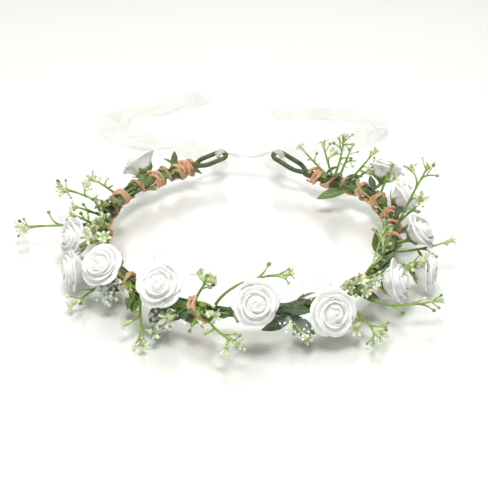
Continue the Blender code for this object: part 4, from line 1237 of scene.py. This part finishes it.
def build_tail(side):
    """A tail: pleated where it leaves the eye, then open, lying in loose waves on the table."""
    dice = random.Random(7 + side)
    drop = eye_inside(side) - Vector((0, 0, EYE_DROP))
    lie = [Vector((CENTRE.x + x / 1000, CENTRE.y + RING_RADIUS + y / 1000, RIBBON_LIE))
           for x, y in RIBBON_ROUTE[side]]
    path = through([drop, drop.lerp(lie[0], 0.5) - Vector((0, 0, 0.002))] + lie, RIBBON_STEP)
    path = [Vector((p.x, p.y, max(p.z, RIBBON_LIE))) for p in path]
    runs, seed = lengths_along(path), dice.uniform(0, 50)
    rows, folds = [], []
    for i, (p, run) in enumerate(zip(path, runs)):
        ahead = heading(path, i)
        across = Vector((ahead.y, -ahead.x, 0)).normalized()
        spread, calm = smooth(run / OPENED_AFTER), smooth((runs[-1] - run) / CALM_BEFORE)
        half = mix(THROAT, RIBBON_WIDTH, spread) / 2
        sway = 0.0012 * spread * math.sin(run * 95 + seed)
        row = []
        for x in side_to_side(RIBBON_COLUMNS):
            pleat = math.cos(x * 4 * math.pi) * 0.0011 * (1 - spread)
            fold = 0.5 + 0.5 * math.sin(run * 150 + 2.2 * x + 3 * noise_at(run * 18, x, seed))
            fold = fold**2 * (0.35 + 0.65 * smooth(noise_at(run * 24, 0.4 * x, seed + 9) + 0.5))
            lift = 0.0052 * fold * spread * mix(0.25, 1.0, calm)
            ripple = 0.5 + 0.5 * math.sin(run * 210 + (3 if x > 0 else 0) + seed)
            edge = 0.0016 * spread * ripple * abs(x) ** 4
            row.append(p + across * (x * half + sway) + Vector((0, 0, max(lift + edge, 0.0) + pleat)))
        rows.append([Vector((q.x, q.y, max(q.z, TABLE_SKIN))) for q in row])
        height = row[RIBBON_COLUMNS // 2].z - p.z
        folds.append(mix(0.9, 0.0, spread) + 0.5 * smooth(height / 0.004) * spread)
    shape = Shape()
    shape.grid(rows, length=runs[-1] / RIBBON_WIDTH, tone=folds)
    tail = soften(shape.object(f"organza_tail_{WORD[side]}", [ORGANZA]))
    settle(tail, "ribbon_organza", HALF[side], f"ribbon_tail_{WORD[side]}")


def build_bridge():
    """The gathered ribbon between the eyes: up through each, over its tip, and slack across the gap."""
    over, up = EYE_RADIUS + 0.0008, Vector((0, 0, 1))
    legs = {}
    for side in (LEFT, RIGHT):
        root, ahead, _ = eye_axes(side)
        tip = root + ahead * EYE_LENGTH[side]
        legs[side] = [eye_inside(side) - up * EYE_DROP, eye_inside(side) + up * over * 0.8,
                      tip - ahead * 0.0016 + up * (over + 0.0006), tip + ahead * 0.0028 - up * 0.0002]
    slack = [legs[LEFT][-1].lerp(legs[RIGHT][-1], t) - up * BRIDGE_SAG * math.sin(math.pi * t)
             for t in (0.33, 0.67)]
    path = through(legs[LEFT] + slack + legs[RIGHT][::-1], BRIDGE_STEP)
    runs, rows = lengths_along(path), []
    for p, run, (side, lift) in zip(path, runs, frames_along(path)):
        t = run / runs[-1]
        half = mix(0.0024, 0.0042, math.sin(math.pi * t) ** 2)
        row = []
        for x in side_to_side(BRIDGE_COLUMNS):
            pleat = 0.0011 * math.cos(x * 5 * math.pi + 0.8 * math.sin(t * 9))
            pleat *= 0.6 + 0.4 * math.sin(t * 23 + x)
            row.append(p + side * half * x + lift * (pleat + 0.0008 * (1 - x * x)))
        rows.append(row)
    shape = Shape()
    shape.grid(rows, length=runs[-1] / RIBBON_WIDTH, tone=0.5)
    bridge = shape.object("organza_bridge", [ORGANZA])
    settle(bridge, "ribbon_organza", None, "ribbon_bridge")


# ---- floor, light and camera ----
SHADE_TINT = (0.925, 1.0, 0.85)
BACK_TINT = (0.97, 1.0, 0.93)
WORLD_STRENGTH = 0.15
# Area lights that face the ring's centre: place from there, width and height, power and colour.
LIGHTS = {
    "top": ((0.0, -0.03, 0.80), (0.34, 0.34), 6.0, (1, 1, 1)),
    "fill": ((-0.15, -0.95, 0.30), (0.9, 0.4), 3.4, (1, 1, 1)),
    "key": ((-0.50, -0.30, 0.80), (0.5, 0.5), 0.5, (1, 1, 1)),
    "back": ((0.0, 1.15, 0.78), (2.4, 1.3), 9.0, BACK_TINT),
}
CAMERA_PLACE = Vector((0.0014, -0.5522, 0.3557))
CAMERA_YAW, CAMERA_PITCH = math.radians(-0.386), math.radians(32.674)
CAMERA_LENS, CAMERA_SENSOR = 77.1, 36


def build_stage():
    """A pale, slightly glossy table under soft studio light."""
    mesh = bpy.data.meshes.new("table")
    mesh.from_pydata([(-3, -2, 0), (3, -2, 0), (3, 4, 0), (-3, 4, 0)], [], [(0, 1, 2, 3)])
    n = Nodes("table_look")
    haze = n.ramp(n.noise(3.0, 2.0), [(0.3, (0.955, 0.955, 0.955)), (0.7, (0.97, 0.97, 0.965))])
    n.set(Base_Color=haze, Roughness=0.25, Metallic=0.40)
    mesh.materials.append(n.material)
    add_object("table", mesh)

    world = bpy.data.worlds.new("studio")
    bpy.context.scene.world = world
    world.use_nodes = True
    background = world.node_tree.nodes["Background"]
    background.inputs["Color"].default_value = (*SHADE_TINT, 1)
    background.inputs["Strength"].default_value = WORLD_STRENGTH
    for name, (place, size, power, tint) in LIGHTS.items():
        light = bpy.data.lights.new(name, "AREA")
        light.shape, light.energy, light.color = "RECTANGLE", power, tint
        light.size, light.size_y = size
        lamp = add_object(name, light)
        lamp.location = CENTRE + Vector(place)
        lamp.rotation_euler = (CENTRE - lamp.location).to_track_quat("-Z", "Y").to_euler()


def build_camera():
    camera = add_object("camera", bpy.data.cameras.new("camera"))
    camera.data.lens, camera.data.sensor_width = CAMERA_LENS, CAMERA_SENSOR
    camera.data.clip_start = 0.01
    camera.location = CENTRE + CAMERA_PLACE
    level = Vector((math.sin(CAMERA_YAW), math.cos(CAMERA_YAW), 0))
    ahead = turned(level, Vector((0, 0, -1)), CAMERA_PITCH)
    camera.rotation_euler = ahead.to_track_quat("-Z", "Y").to_euler()
    bpy.context.scene.camera = camera


def dress_wires():
    """The frame wires are the CAD's own, with a better finish."""
    for side in (LEFT, RIGHT):
        for slot in frame["nodes"][f"frame_wire_{WORD[side]}"].material_slots:
            slot.material = WIRE


bpy.context.scene.view_settings.view_transform = "Standard"
build_band()
for half_side in (LEFT, RIGHT):
    build_eye(half_side)
    build_twine(half_side)
    build_tail(half_side)
build_bridge()
for rose in ROSES:
    build_rose(*rose)
build_stalks()
build_leaves()
build_loose_petal()
build_sprigs()
build_sprays()
build_tulle()
dress_wires()
build_stage()
build_camera()
